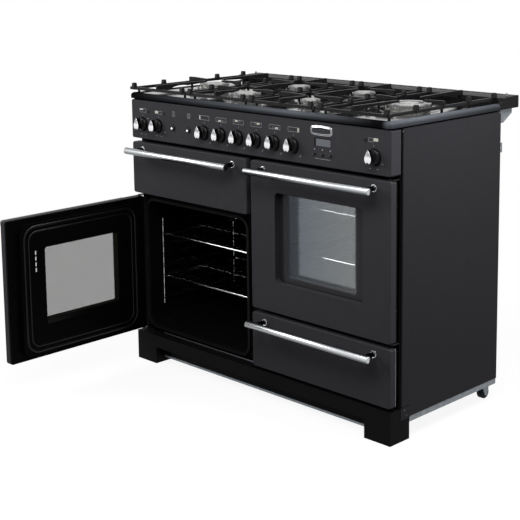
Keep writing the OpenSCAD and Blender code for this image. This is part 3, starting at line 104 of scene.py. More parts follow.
class Finish:
    """A material, or the world, built up node by node."""

    def __init__(self, name, owner=None):
        self.owner = owner or bpy.data.materials.new(name)
        self.owner.use_nodes = True
        self.tree = self.owner.node_tree
        self.tree.nodes.clear()

    def add(self, kind, settings=None, inputs=None, output=0):
        """A node of this kind, its settings first, then the values or links of its sockets."""
        node = self.tree.nodes.new(kind)
        for name, value in (settings or {}).items():
            setattr(node, name, value)
        for name, value in (inputs or {}).items():
            if isinstance(value, Value):
                self.tree.links.new(value.socket, node.inputs[name])
            else:
                node.inputs[name].default_value = value
        return Value(self, node.outputs[output]) if node.outputs else node

    def place(self, scale=(1, 1, 1), turn=(0, 0, 0)):
        """Object coordinates in metres, stretched and turned."""
        where = self.add("ShaderNodeTexCoord", output="Object")
        return self.add("ShaderNodeMapping", inputs={"Vector": where, "Scale": scale, "Rotation": turn})

    def axes(self):
        """X, Y and Z of the object's own coordinates."""
        where = self.add("ShaderNodeTexCoord", output="Object")
        split = self.add("ShaderNodeSeparateXYZ", inputs={0: where})
        return [Value(self, output) for output in split.socket.node.outputs]

    def noise(self, scale, detail=2, stretch=(1, 1, 1)):
        return self.add("ShaderNodeTexNoise", inputs={"Vector": self.place(stretch), "Scale": scale,
                                                      "Detail": detail})

    def lines(self, along, fine, coarse):
        """Fine lines that run along one axis, as rubbing leaves them."""
        stretch = [fine] * 3
        stretch[along] = coarse
        return self.noise(1, 3, stretch)

    def cells(self, scale):
        return self.add("ShaderNodeTexVoronoi", inputs={"Vector": self.place(), "Scale": scale})

    def mix(self, a, b, factor):
        """Colour a where factor is 0, b where it is 1. The node's colours are its sockets 6, 7 and output 2."""
        return self.add("ShaderNodeMix", {"data_type": "RGBA"}, {0: factor, 6: a, 7: b}, 2)

    def ramp(self, value, stops):
        """A colour that runs through stops, each (position, (r, g, b))."""
        node = self.add("ShaderNodeValToRGB", inputs={0: value})
        points = node.socket.node.color_ramp.elements
        for k, (where, colour) in enumerate(stops):
            point = points[k] if k < 2 else points.new(where)
            point.position, point.color = where, tone(*colour)
        return node

    def bump(self, height, distance):
        return self.add("ShaderNodeBump", inputs={"Height": height, "Distance": distance})

    def shader(self, colour, rough, metal=0.0, **more):
        """A principled surface; more holds its other sockets, spaces written as underscores."""
        inputs = {"Base Color": colour, "Roughness": rough, "Metallic": metal}
        inputs.update({name.replace("_", " "): value for name, value in more.items()})
        return self.add("ShaderNodeBsdfPrincipled", inputs=inputs)

    def blend(self, a, b, factor):
        return self.add("ShaderNodeMixShader", inputs={0: factor, 1: a, 2: b})

    def done(self, surface, kind="ShaderNodeOutputMaterial"):
        self.add(kind, inputs={"Surface": surface})
        return self.owner


# The painted highlight on a turned edge (tone, inset, width) and the painted shadow by a gap (tone, width)
PAINTED_EDGE_HIGHLIGHT_TONE, PAINTED_HIGHLIGHT_INSET, PAINTED_HIGHLIGHT_WIDTH = (60, 60, 64), 0.0016, 0.0012
PAINTED_GAP_SHADOW_TONE, PAINTED_SHADOW_WIDTH = (3, 3, 3), 0.002


def speckled(name, dark, light, fleck, rough, gloss, peel=0.00003, bright=None, shadow_from=None):
    """Sprayed enamel: a mottled coat with flecks and a faint orange peel. Optionally a painted highlight lightens
    the turned edge beyond a given x, and a painted shadow darkens the panel ahead of a given y, as the shade of its
    gap would."""
    f = Finish(name)
    mottle = f.noise(38, 3)
    grain = f.noise(950, 2)
    flecked = f.noise(620, 1).smooth(0.62, 0.74)
    colour = f.mix(f.mix(tone(*dark), tone(*light), (mottle + grain) * 0.5), tone(*fleck), flecked * 0.5)
    if bright is not None:
        # Painted highlight on the turned edge
        start = bright - PAINTED_HIGHLIGHT_INSET
        colour = f.mix(colour, tone(*PAINTED_EDGE_HIGHLIGHT_TONE), f.axes()[0].smooth(start, start + PAINTED_HIGHLIGHT_WIDTH))
    if shadow_from is not None:
        # Painted shadow ahead of the gap
        colour = f.mix(tone(*PAINTED_GAP_SHADOW_TONE), colour, f.axes()[1].smooth(shadow_from, shadow_from + PAINTED_SHADOW_WIDTH))
    waves = f.noise(260, 2) + grain * 0.5
    return f.done(f.shader(colour, (mottle - 0.5) * 0.16 + rough, Specular_IOR_Level=gloss,
                           Normal=f.bump(waves, peel)))


def rolled_enamel():
    """Black enamel: a glossy deck, and a satin rolled rim whose colour carries soft bands of painted highlight."""
    f = Finish("hob_enamel")
    x, y, z = f.axes()
    mottle = f.noise(38, 3)
    front = y.smooth(0.03, 0.01)
    side = x.smooth(0.515, 0.535)
    upper = z.smooth(0.884, 0.9)
    # Painted highlight along the front: it rises to x = 0.19 and falls to x = 0.49, and is lighter on the rim's
    # upper part
    rising = (x + 0.52) / 0.71
    falling = (0.49 - x) / 0.3
    front_highlight = rising.maths("MINIMUM", rising, falling).top(0.0) * (0.15 + upper * 0.85) * front
    # Painted highlight on the side: it fades both ways from y = 0.13, lighter on the upper part
    side_highlight = (1 - abs(y - 0.13) / 0.75).top(0.0) * (0.5 + upper * 0.5) * side
    painted_rim_highlight = front_highlight.top(side_highlight)
    # The mottled black lightens towards a painted highlight tone on the rim
    colour = f.mix(f.mix(tone(8, 8, 9), tone(13, 13, 14), mottle), tone(76, 79, 84), painted_rim_highlight)
    return f.done(f.shader(colour, 0.45, Specular_IOR_Level=0.0, Coat_Weight=1 - front.top(side),
                           Coat_Roughness=0.09, Normal=f.bump(f.noise(260, 2), 0.000003)))


def satin(name, along, middle, radius, bands):
    """A satin steel tube along one axis, with a painted reflection: stripes of light and dark set by height about
    its middle.
    """
    f = Finish(name)
    lines = f.lines(along, 700, 5)
    height = (f.axes()[2] - middle) / (2 * radius) + 0.5
    colour = f.ramp(height + lines * 0.05 - 0.025, bands)
    return f.done(f.shader(colour, lines * 0.12 + 0.2, 1.0, Normal=f.bump(lines, 0.00003)))


def brushed(name, colour, along, rough=0.24):
    """Satin steel rubbed along one axis."""
    f = Finish(name)
    lines = f.lines(along, 900, 6)
    film = f.noise(22, 2)
    tint = f.mix(tone(*[c * 0.86 for c in colour]), tone(*colour), lines)
    return f.done(f.shader(tint, lines * 0.12 + film * 0.08 + rough - 0.1, 1.0, Normal=f.bump(lines, 0.00004)))


def polished(name, colour, rough=0.06):
    """Bright plating with a faint film."""
    f = Finish(name)
    film = f.noise(45, 3)
    tint = f.mix(tone(*[c * 0.9 for c in colour]), tone(*colour), film)
    return f.done(f.shader(tint, film * 0.08 + rough, 1.0, Normal=f.bump(f.noise(300, 2), 0.00001)))


def galvanised():
    """Zinc-coated sheet with its spangle."""
    f = Finish("galvanised_sheet")
    spangle = f.cells(85)
    flake = f.noise(420, 2)
    colour = f.mix(tone(104, 109, 114), tone(150, 156, 162), spangle * 0.6 + flake * 0.35)
    return f.done(f.shader(colour, flake * 0.15 + 0.42, 0.6, Normal=f.bump(flake, 0.00003)))


def cast(name, dark, light, rough, grit, metal=0.0, gloss=0.5):
    """A cast surface, pitted by the sand."""
    f = Finish(name)
    sand = f.noise(700, 3)
    cloud = f.noise(55, 3)
    colour = f.mix(tone(*dark), tone(*light), sand * 0.5 + cloud * 0.5)
    return f.done(f.shader(colour, cloud * 0.16 + rough - 0.08, metal, Specular_IOR_Level=gloss,
                           Normal=f.bump(sand + f.noise(240, 2), grit)))


def moulded(name, dark, light, rough, gloss=0.5, peel=0.00002):
    """Moulded plastic or rubber."""
    f = Finish(name)
    cloud = f.noise(90, 3)
    return f.done(f.shader(f.mix(tone(*dark), tone(*light), cloud), cloud * 0.1 + rough,
                           Specular_IOR_Level=gloss, Normal=f.bump(f.noise(900, 2), peel)))


def braid():
    """Woven sheath of the door seals."""
    f = Finish("seal_braid")
    one, two = (f.add("ShaderNodeTexWave", inputs={"Vector": f.place(turn=(s * 0.8, 0.6, s * 0.8)), "Scale": 330})
                for s in (1, -1))
    weave = one.top(two)
    return f.done(f.shader(f.mix(tone(3, 3, 3), tone(13, 13, 13), weave), 0.6, 0.0, Specular_IOR_Level=0.05,
                           Normal=f.bump(weave, 0.0003)))


def machined_brass():
    """Turned brass, a little tarnished."""
    f = Finish("machined_brass")
    rings = f.noise(1, 2, (900, 60, 60))
    tarnish = f.noise(30, 3)
    return f.done(f.shader(f.mix(tone(146, 116, 62), tone(206, 174, 104), rings * 0.5 + tarnish * 0.5),
                           tarnish * 0.25 + 0.22, 1.0, Normal=f.bump(rings, 0.00003)))


INNER_SHIFT = 0.024   # the shut door's inner pane has its window further to the left
PRINT_EDGE = 0.0006


def pane(name, across, centre, half, corner, film, low, high, metal, printing):
    """Glass with a printed border. The clear film's colour runs from low to high across the window: with metal, a
    painted reflection; without, a dark tint. The window has this centre, half size and corner radius, measured along
    the axis across and in height. film is how much the outer pane hides, and what the inner one adds."""
    f = Finish(name)
    where = f.axes()
    deep = where[1].smooth(0.025, 0.035) if across == 0 else 0.0
    du = (abs(where[across] - centre[0] + deep * INNER_SHIFT) - (half[0] - corner)).top(0.0)
    dv = (abs(where[2] - centre[1]) - (half[1] - corner)).top(0.0)
    border = ((du * du + dv * dv) ** 0.5).smooth(corner - PRINT_EDGE, corner + PRINT_EDGE)
    haze = f.noise(3, 1)
    run = (where[across] - (centre[0] - half[0])) / (2 * half[0])
    # Across the window the film's colour runs from low to high: a painted reflection on the right door's metal film,
    # a tint on the open door
    colour = f.ramp(run + haze * 0.2 - 0.1, ((0, low), (1, high)))
    clear = f.shader(colour, 0.1, metal, Specular_IOR_Level=0.1, Alpha=deep * film[1] + film[0])
    lay = f.mix(tone(*printing), tone(*[c + 6 for c in printing]), haze)
    return f.done(f.blend(clear, f.shader(lay, haze * 0.04 + 0.2, Specular_IOR_Level=0.1), border))


def ink(name, colour):
    """Screen-printed marks."""
    f = Finish(name)
    lay = f.noise(900, 2)
    return f.done(f.shader(f.mix(tone(*[c * 0.85 for c in colour]), tone(*colour), lay), lay * 0.2 + 0.4,
                           Normal=f.bump(lay, 0.00001)))


ENAMEL = (41, 40, 43), (52, 51, 54), (70, 69, 74), 0.5, 0.03
ANTHRACITE = speckled("anthracite_enamel", *ENAMEL)
HOB_ENAMEL = rolled_enamel()
FLUE_ENAMEL = speckled("flue_enamel", (18, 18, 19), (26, 26, 27), (40, 40, 42), 0.4, 0.04)
BLACK_GLOSS = speckled("black_enamel", (4, 4, 4), (7, 7, 7), (14, 14, 15), 0.3, 0.015, peel=0.00001)
# The pressed beads: the door's black enamel painted a little lighter, so their lines read as lit
BEAD_ENAMEL_PAINTED_LIGHTER = speckled("bead_enamel_painted_lighter", (10, 10, 11), (15, 15, 16), (22, 22, 24), 0.3, 0.15, peel=0.00001)
PLINTH_BLACK = speckled("plinth_enamel", (7, 7, 8), (12, 12, 13), (20, 20, 22), 0.5, 0.03)
OVEN_ENAMEL = speckled("oven_enamel", (3, 3, 4), (7, 7, 8), (44, 45, 47), 0.5, 0.03, peel=0.00001)
CAST_IRON = cast("cast_iron_support", (7, 7, 8), (16, 16, 18), 0.42, 0.00008, gloss=0.1)
# The burner caps: black enamel painted mid grey, a painted reflection for the bright tops they show
CAP_ENAMEL_PAINTED_SHEEN = cast("burner_cap_painted_sheen", (84, 84, 83), (98, 98, 96), 0.28, 0.0000005, gloss=0.7)
BURNER_ALLOY = cast("burner_alloy", (112, 112, 110), (156, 156, 152), 0.42, 0.00006, 0.9)
GALVANISED = galvanised()
# Painted reflection and shade on the handle tubes by height: dark at the underside, lightest a little above the
# middle
PAINTED_REFLECTION_BANDS = ((0.0, (12, 12, 13)), (0.08, (40, 41, 44)), (0.16, (112, 115, 118)), (0.24, (70, 72, 75)),
               (0.36, (132, 135, 138)), (0.5, (176, 178, 181)), (0.68, (208, 210, 212)), (0.84, (158, 160, 163)),
               (1.0, (120, 122, 125)))
HANDLE_STEEL = brushed("handle_steel_y", (196, 198, 200), 1)
POST_STEEL = polished("post_steel", (60, 61, 63), 0.16)
WIRE_CHROME = polished("wire_chrome", (190, 191, 193), 0.12)
BUTTON_CHROME = polished("button_chrome", (196, 198, 201), 0.12)
BADGE_METAL = polished("badge_metal", (206, 208, 211), 0.2)
GRILL_STEEL = brushed("grill_steel", (150, 150, 152), 0, 0.34)
BRASS = machined_brass()
BRAID = braid()
KNOB_BLACK = moulded("knob_black", (3, 3, 4), (7, 7, 8), 0.25, 0.12)
COLLAR_BLACK = moulded("collar_black", (6, 6, 7), (11, 11, 12), 0.35, 0.25)
MODULE_BLACK = moulded("module_plastic", (14, 14, 15), (22, 22, 24), 0.45, 0.2)
RUBBER = moulded("roller_rubber", (14, 14, 14), (24, 24, 24), 0.75, 0.2, 0.00006)
SCREW_BLACK = polished("screw_black", (58, 58, 60), 0.3)
# The panel's printing and its display
INK_LIGHT = ink("printing_light", (176, 175, 164))
INK_MID = ink("printing_middle", (134, 135, 136))
INK_DIM = ink("printing_dim", (128, 129, 133))
LCD_GREY = moulded("display_film", (84, 87, 91), (94, 97, 101), 0.3, 0.1)
BADGE_GREY = moulded("badge_field", (44, 44, 47), (52, 52, 55), 0.4, 0.05)
LENS_DARK = moulded("lamp_lens", (16, 15, 16), (24, 22, 23), 0.3, 0.1)

# Each CAD node takes the finish of its slot, and some then a finish of their own
SLOT_FINISH = {
    "anthracite_enamel": ANTHRACITE, "black_enamel": BLACK_GLOSS, "oven_enamel": OVEN_ENAMEL,
    "cast_iron_support": CAST_IRON, "burner_cap": CAP_ENAMEL_PAINTED_SHEEN, "burner_alloy": BURNER_ALLOY,
    "galvanised_steel": GALVANISED, "handle_steel": HANDLE_STEEL, "wire_chrome": WIRE_CHROME,
    "grill_steel": GRILL_STEEL, "gas_brass": BRASS, "seal_braid": BRAID, "knob_black": KNOB_BLACK,
    "button_chrome": BUTTON_CHROME, "control_module": MODULE_BLACK, "screw_black": SCREW_BLACK,
    "roller_rubber": RUBBER, "door_glass": BLACK_GLOSS,
}
for part in frame["record"]["subparts"]:
    node = NODES[part["node"]]
    node.data.materials.clear()
    node.data.materials.append(SLOT_FINISH[part["material_slot"]])


def dress(name, finish):
    """Puts a finish on a CAD node."""
    NODES[name].data.materials[0] = finish


PAINTED_SHADOW_REACH = 0.006   # how far the doors' shadow reaches over the side panels

dress("plinth", PLINTH_BLACK)
# A painted highlight on the right-hand edges of the control panel, right door and drawer front, and a painted shadow
# along the side panels' front edges by the doors
for name in ("control_panel", "right_door_panel", "drawer_front"):
    dress(name, speckled(f"enamel_of_{name}", *ENAMEL, bright=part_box(name)[1][0]))
dress("left_door_panel", speckled("enamel_of_open_door", *ENAMEL))
for name in ("side_panel_left", "side_panel_right"):
    dress(name, speckled(f"enamel_of_{name}", *ENAMEL, shadow_from=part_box(name)[0][1] + PAINTED_SHADOW_REACH))
dress("hinge_brackets", COLLAR_BLACK)
dress("hob_deck", HOB_ENAMEL)
dress("flue_trim", FLUE_ENAMEL)


# ---------------------------------------------------------------- shapes

UPRIGHT = Matrix.Rotation(pi / 2, 4, "X")    # stands a flat circle up in XZ
SIDEWAYS = Matrix.Rotation(pi / 2, 4, "Z")   # lays a turned piece along X


def turned(profile, segments=40):
    """A turned piece about Y: profile lists (radius, y) in mm, from one end to the other."""
    bm = bmesh.new()
    verts = [bm.verts.new((r / MM, y / MM, 0)) for r, y in profile]
    edges = [bm.edges.new(pair) for pair in zip(verts, verts[1:])]
    bmesh.ops.spin(bm, geom=verts + edges, cent=(0, 0, 0), axis=(0, 1, 0), angle=2 * pi, steps=segments,
                   use_merge=True)
    bmesh.ops.remove_doubles(bm, verts=bm.verts, dist=1e-6)
    bmesh.ops.recalc_face_normals(bm, faces=bm.faces)
    return bm


def moved(bm, matrix):
    bmesh.ops.transform(bm, matrix=matrix, verts=bm.verts)
    return bm


def at(x, y, z):
    """A move, in mm."""
    return Matrix.Translation((x / MM, y / MM, z / MM))


def joined(*parts):
    """Several shapes as one mesh."""
    whole = parts[0]
    for other in parts[1:]:
        scrap = bpy.data.meshes.new("scrap")
        other.to_mesh(scrap)
        whole.from_mesh(scrap)
        bpy.data.meshes.remove(scrap)
        other.free()
    return whole


def forward(bm):
    """Turns a flat shape's face towards -Y."""
    bmesh.ops.recalc_face_normals(bm, faces=bm.faces)
    if bm.faces[:][0].normal.y > 0:
        bmesh.ops.reverse_faces(bm, faces=bm.faces)
    return bm


def outline(w, h, r, steps=6):
    """A flat face in XZ with rounded corners, in mm, its front towards -Y."""
    bm = bmesh.new()
    made = bmesh.ops.create_circle(bm, cap_ends=True, segments=4 * steps, radius=r / MM,
                                   matrix=UPRIGHT @ Matrix.Rotation(pi / 4 / steps, 4, "Z"))
    for v in made["verts"]:
        v.co.x += (w / 2 - r) / MM * (1 if v.co.x > 0 else -1)
        v.co.z += (h / 2 - r) / MM * (1 if v.co.z > 0 else -1)
    return forward(bm)


def extruded(bm, faces, depth):
    """Draws faces forward by depth mm, and gives their new verts and faces."""
    made = bmesh.ops.extrude_face_region(bm, geom=faces)["geom"]
    verts = [g for g in made if isinstance(g, bmesh.types.BMVert)]
    bmesh.ops.translate(bm, verts=verts, vec=(0, -depth / MM, 0))
    return verts, [g for g in made if isinstance(g, bmesh.types.BMFace)]


def raised(bm, height):
    """Gives a flat shape a body that reaches forward by height mm."""
    extruded(bm, bm.faces[:], height)
    bmesh.ops.recalc_face_normals(bm, faces=bm.faces)
    return bm


def softened(bm, width, segments=2, angle=40):
    """Bevels the edges that turn by more than angle degrees."""
    edges = [e for e in bm.edges if len(e.link_faces) == 2 and e.calc_face_angle(0) > radians(angle)]
    bmesh.ops.bevel(bm, geom=edges, offset=width / MM, affect="EDGES", segments=segments, profile=0.5,
                    material=-1)
    return bm


SHARP = radians(35)   # edges that turn by more stay crisp


def piece(name, bm, finish, body):
    """The object made from a mesh, in its finish, riding on its body."""
    mesh = bpy.data.meshes.new(name)
    bm.to_mesh(mesh)
    bm.free()
    mesh.materials.append(finish)
    mesh.shade_smooth()
    mesh.set_sharp_from_angle(angle=SHARP)
    obj = bpy.data.objects.new(name, mesh)
    scene.collection.objects.link(obj)
    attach(obj, body)
    return obj


def on_panel(name, bm, finish):
    """A fixed piece of the control panel."""
    return piece(name, bm, finish, "cabinet")


# The left door stands open: a quarter turn about its hinge axis
HINGE = Vector((-0.538, 0.016, 0))
OPENED = Matrix.Translation(HINGE) @ Matrix.Rotation(-pi / 2, 4, "Z") @ Matrix.Translation(-HINGE)


# ---------------------------------------------------------------- handles

TUBE_R = 10.8
TUBE_PLACE = (-2.5, -50, 0)   # the tube's middle, against the middle of its posts' feet
TUBE_END = [(0, 237), (9.4, 237), (10.3, 236.6), (TUBE_R, 235.6)]
POST_X = 212


def handle(name, body, x, z, place=Matrix(), finish=None, cap=BUTTON_CHROME):
    """A steel tube with flat end caps on two collared posts, its middle at x and z of the door's face."""
    home = place @ at(x, 0, z)
    lie = home @ at(*TUBE_PLACE) @ SIDEWAYS
    # Unless another finish is given, the tube gets steel with the painted reflection
    finish = finish or satin(f"steel_painted_reflection_of_{name}", 0, z / MM, TUBE_R / MM, PAINTED_REFLECTION_BANDS)
    tube = moved(turned([(r, -y) for r, y in TUBE_END] + TUBE_END[::-1], 64), lie)
    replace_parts(piece(name, tube, finish, body), name.replace("tube", "handle"))
    posts, collars, caps = [], [], []
    for x in (-POST_X, POST_X):
        posts.append(moved(turned([(9.4, 0), (9.4, -3), (7.6, -4), (6.8, -5), (6.8, -38), (8.6, -40),
                                   (8.6, -44)]), home @ at(x, 0, 0)))
        collars.append(moved(turned([(9.6, 0), (10.4, 0), (10.6, -2.4), (10, -3.6), (9.2, -3.8), (8.6, -3.4)]),
                             home @ at(x, 0, 0)))
    for s in (-1, 1):
        disc = turned([(0, 237), (8.8, 237), (9.2, 237.3), (8.8, 237.8), (6, 238.3), (0, 238.4)], 48)
        caps.append(moved(disc, lie @ Matrix.Scale(s, 4, (0, 1, 0))))
    caps = joined(*caps)
    bmesh.ops.recalc_face_normals(caps, faces=caps.faces)
    piece(name.replace("tube", "posts"), joined(*posts), POST_STEEL, body)
    piece(name.replace("tube", "collars"), joined(*collars), BADGE_METAL, body)
    piece(name.replace("tube", "caps"), caps, cap, body)


handle("left_door_tube", "left_oven_door", -279.5, 534, OPENED, HANDLE_STEEL)
handle("right_door_tube", "right_oven_door", 275.5, 718)
handle("grill_door_tube", "grill_door", -279.5, 718, cap=COLLAR_BLACK)
handle("drawer_tube", "storage_drawer", 275.5, 253)


# ---------------------------------------------------------------- knobs and buttons

KNOB_Z = 804
KNOB_PITCH = 76
KNOB_X = [-489, -414] + [-194 + KNOB_PITCH * i for i in range(6)] + [488.5]
PUSH_X = (-339, -265.5)
CLOCK_X, CLOCK_PITCH, CLOCK_Z = 269, 30.5, 788
GRIP_HALF = 14       # about half a grip's width, which its growth is measured against
LEAF_SPREAD = 1.62   # with this, a leaf's widest part comes out at 0.914 of the width it is given


def leaf(height, width):
    """A leaf-shaped face in XZ, pointed at the top, round at the bottom."""
    bm = bmesh.new()
    bmesh.ops.create_circle(bm, cap_ends=True, segments=48, radius=1, matrix=UPRIGHT)
    for v in bm.verts:
        lobe = ((1 - v.co.z) / 2) ** 0.6
        v.co = (v.co.x * lobe * width / LEAF_SPREAD / MM, 0, v.co.z * height / 2 / MM)
    return forward(bm)


# The knob leaves' painted reflection: stripes of light and dark by height across each leaf
LEAF_PAINTED_REFLECTION = ((0.0, (120, 121, 124)), (0.08, (226, 227, 229)), (0.42, (240, 240, 242)), (0.62, (150, 152, 155)),
              (0.82, (176, 178, 181)), (1.0, (110, 111, 114)))
LEAF_STEEL = satin("leaf_steel_painted_reflection", 2, (KNOB_Z + 3) / MM, 0.02, LEAF_PAINTED_REFLECTION)


def knob(i, x):
    """Skirt, waisted grip and bright leaf of one control knob."""
    body = f"control_knob_{i}"
    skirt = turned([(4, 3), (4, -1), (20, -1), (22.4, -1.6), (23, -3), (23, -5.5), (22.2, -8), (20, -10.4),
                    (17, -12), (12, -13), (0, -13.4)], 48)
    grip = moved(leaf(44, 29), at(0, -11.5, 2.6))
    face = grip.faces[:]
    for depth, growth in ((3, -2.2), (4, -1.1), (5.5, 0.9), (4, 0.8), (1.2, -0.5)):
        rim, face = extruded(grip, face, depth)
        middle = sum((v.co for v in rim), Vector()) / len(rim)
        scale = 1 + growth / GRIP_HALF
        bmesh.ops.scale(grip, verts=rim, vec=(scale, 1, scale), space=Matrix.Translation(-middle))
    bmesh.ops.recalc_face_normals(grip, faces=grip.faces)
    notch = moved(turned([(2.7, -29), (2.7, -30.7), (2.2, -31), (0, -31)], 24), at(0, 0, -15))
    home = at(x, 0, KNOB_Z)
    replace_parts(piece(f"knob_{i}_body", moved(joined(skirt, grip, notch), home), KNOB_BLACK, body),
                f"knob_{i}")
    badge = raised(leaf(39.5, 25), 1)
    softened(badge, 0.5, 3, 60)
    piece(f"knob_{i}_leaf", moved(badge, home @ at(0, -29.2, 3)), LEAF_STEEL, body)


for i, x in enumerate(KNOB_X, 1):
    knob(i, x)

# The collar and dome move together, the guard ring stays on the panel
for i, x in enumerate(PUSH_X, 1):
    home = at(x, 0, KNOB_Z)
    collar = turned([(6.1, 20), (6.1, -1), (7.9, -1), (7.9, -4.4), (7.2, -5.2), (4.4, -5.4)])
    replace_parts(piece(f"push_{i}_collar", moved(collar, home), COLLAR_BLACK, f"push_{i}"),
                f"push_button_{i}")
    dome = turned([(4.8, -4.6), (4.8, -6.2), (4.3, -7.6), (3.1, -8.6), (1.5, -9), (0, -9.1)])
    piece(f"push_{i}_dome", moved(dome, at(x, 0, KNOB_Z - 2.4)), BUTTON_CHROME, f"push_{i}")
    guard = turned([(8.6, 0), (10.8, 0), (10.8, -1.6), (10.2, -2.2), (9, -2.2), (8.6, -1.8), (8.6, 0)])
    on_panel(f"push_{i}_guard", moved(guard, home), COLLAR_BLACK)

for i in range(3):
    button = turned([(0, 14), (4, 14), (4, -3.8), (3.7, -4.6), (2.8, -5), (0, -4.7)], 28)
    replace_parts(piece(f"clock_{i + 1}_cap", moved(button, at(CLOCK_X + CLOCK_PITCH * i, 0, CLOCK_Z)), COLLAR_BLACK,
                      f"clock_push_{i + 1}"), f"clock_button_{i + 1}")


# ---------------------------------------------------------------- control panel's printing, display and plate

INK_T = 0.12    # thickness of the printing
LINE = 0.9      # width of a printed line
ICON_Z = 849
BADGE_X, BADGE_Z = 296.5, 856


def patch(x, z, w, h, r=0.6):
    """A printed patch."""
    return moved(raised(outline(w, h, r, 3), INK_T), at(x, 0, z))


def ring(x, z, w, h, r, line=LINE):
    """A printed outline."""
    bm = outline(w, h, r)
    face = bm.faces[:]
    bmesh.ops.inset_region(bm, faces=face, thickness=line / MM, use_boundary=True)
    bmesh.ops.delete(bm, geom=face, context="FACES_ONLY")
    return moved(raised(bm, INK_T), at(x, 0, z))


def hook(x, z, size):
    """A small printed crescent, open to the upper left."""
    bm = bmesh.new()
    bmesh.ops.create_circle(bm, cap_ends=True, segments=24, radius=size / MM, matrix=UPRIGHT)
    cut = size / 1.6 / MM
    for v in bm.verts:
        if v.co.x - v.co.z < cut:
            v.co += Vector((1, 0, -1)) * (cut - v.co.x + v.co.z) * 0.82
    return moved(raised(forward(bm), INK_T), at(x, 0, z))


outlines, patches, dims = [], [], []
# The burner icons: where each one's bright patch lies in its outline, and the patch's width and height
CELLS = [(-19.5, 0, 5, 12.5), (-6.5, -3, 11.5, 5), (-9, 3, 11.5, 5), (8.5, 3, 11.5, 5), (8, -2.5, 11.5, 5),
         (18, 0, 5, 12.5)]
for i, (dx, dz, w, h) in enumerate(CELLS):
    x = KNOB_X[2 + i] + 2
    outlines.append(ring(x, ICON_Z, 45, 13.5, 1))
    patches.append(patch(x + dx, ICON_Z + dz, w, h))
    if w > h:
        outlines.append(ring(x + dx + (12.5 if dx < 0 else -12.5), ICON_Z + dz, 11, 5, 0.6, 0.6))
    dims.append(patch(x, 833.5, 1.4, 4, 0.4))
    dims.append(hook(x + 22.5, 777, 4))
outlines += [ring(-488, 847.5, 32, 12.5, 1), ring(-402.5, 846.5, 17, 11, 1), ring(475.5, 848.5, 16.5, 11, 1)]
patches += [patch(-495.5, 851, 16, 5.4), patch(-419.8, 847.4, 15, 8.4), patch(492.3, 850, 16, 8.4)]
# The signs over the push buttons
for x in (-336, -263.5):
    outlines += [ring(x, 848.5, 13, 15.5, 1.4), ring(x, 851, 6.4, 6.4, 3, 0.8), ring(x, 844, 5, 3.6, 1, 0.8)]
# The oven and grill knobs: a mark over each, two below, and one at its side
for x, side in ((-489, (-463.5, 822.7)), (-411, (-379.6, 785.4)), (484, (516.1, 786.4))):
    dims.append(patch(x + 1, 833, 1.4, 4, 0.4))
    dims.append(patch(x - 11, 770.5, 5, 1.8, 0.4))
    dims.append(patch(x + 14, 770.5, 5, 1.8, 0.4))
    patches.append(patch(*side, 5.4, 1.5, 0.4))
# Marks over the clock's buttons, and the bracket below them
for x in (269, 299, 328.5):
    dims.append(patch(x, 801.6, 4, 4, 1))
dims += [patch(300, 775.8, 58, 0.9, 0.3), patch(300, 774, 0.9, 3, 0.3)]
on_panel("panel_outlines", joined(*outlines), INK_DIM)
on_panel("panel_dim_marks", joined(*dims), INK_MID)
on_panel("panel_marks", joined(*patches), INK_LIGHT)

# A black plate behind the display, showing at its left and top: painted shadow of the display's recess wall
recess_shadow_plate = raised(outline(62.6, 24, 1), 0.3)
on_panel("clock_recess_shadow", moved(recess_shadow_plate, at(299.4, 0, 823.2)), KNOB_BLACK)
display = raised(outline(54.4, 20.2, 0.8), 0.4)
on_panel("clock_display", moved(display, at(302.6, 0, 822.2)), LCD_GREY)

for name, x, z in (("left_lamp", -459, 847.8), ("middle_lamp", -382.6, 848), ("right_lamp", 454.7, 847.5)):
    bezel = turned([(5.4, 0), (7.2, 0), (7.2, -0.7), (6.7, -1.2), (5.8, -1.2), (5.4, -0.7)], 32)
    on_panel(name + "_bezel", moved(bezel, at(x, 0, z)), MODULE_BLACK)
    lens = turned([(5.5, 0), (5.3, -0.5), (3.6, -1.1), (0, -1.5)], 32)
    on_panel(name + "_lens", moved(lens, at(x, 0, z)), LENS_DARK)


def bulged(w, h, r, crown):
    """A plate whose top and bottom edges bow outwards."""
    bm = outline(w, h, r, 8)
    bmesh.ops.subdivide_edges(bm, edges=[e for e in bm.edges if e.calc_length() > w / 2 / MM], cuts=12)
    for v in bm.verts:
        v.co.z += crown / MM * (1 - (2 * v.co.x * MM / w) ** 2) * (1 if v.co.z > 0 else -1)
    return bm


plate = moved(raised(bulged(81, 23.5, 8, 2.6), 2), at(BADGE_X, 0, BADGE_Z))
softened(plate, 0.7, 3)
on_panel("badge_rim", plate, BADGE_METAL)
gap = moved(raised(bulged(77.6, 20.4, 6.8, 2.4), 0.3), at(BADGE_X, -1.9, BADGE_Z))
on_panel("badge_gap", gap, KNOB_BLACK)
line = moved(raised(bulged(74, 17, 5.8, 2.2), 0.6), at(BADGE_X, -1.9, BADGE_Z))
softened(line, 0.3)
on_panel("badge_line", line, BADGE_METAL)
field = moved(raised(bulged(71, 14.2, 4.8, 2), 0.3), at(BADGE_X, -2.4, BADGE_Z))
on_panel("badge_field", field, BADGE_GREY)


# ---------------------------------------------------------------- doors

# The left door's pane runs along Y, because the door stands open
RIGHT_WINDOW = (0.2755, 0.5245)
LEFT_WINDOW = (-0.2545, 0.3455)
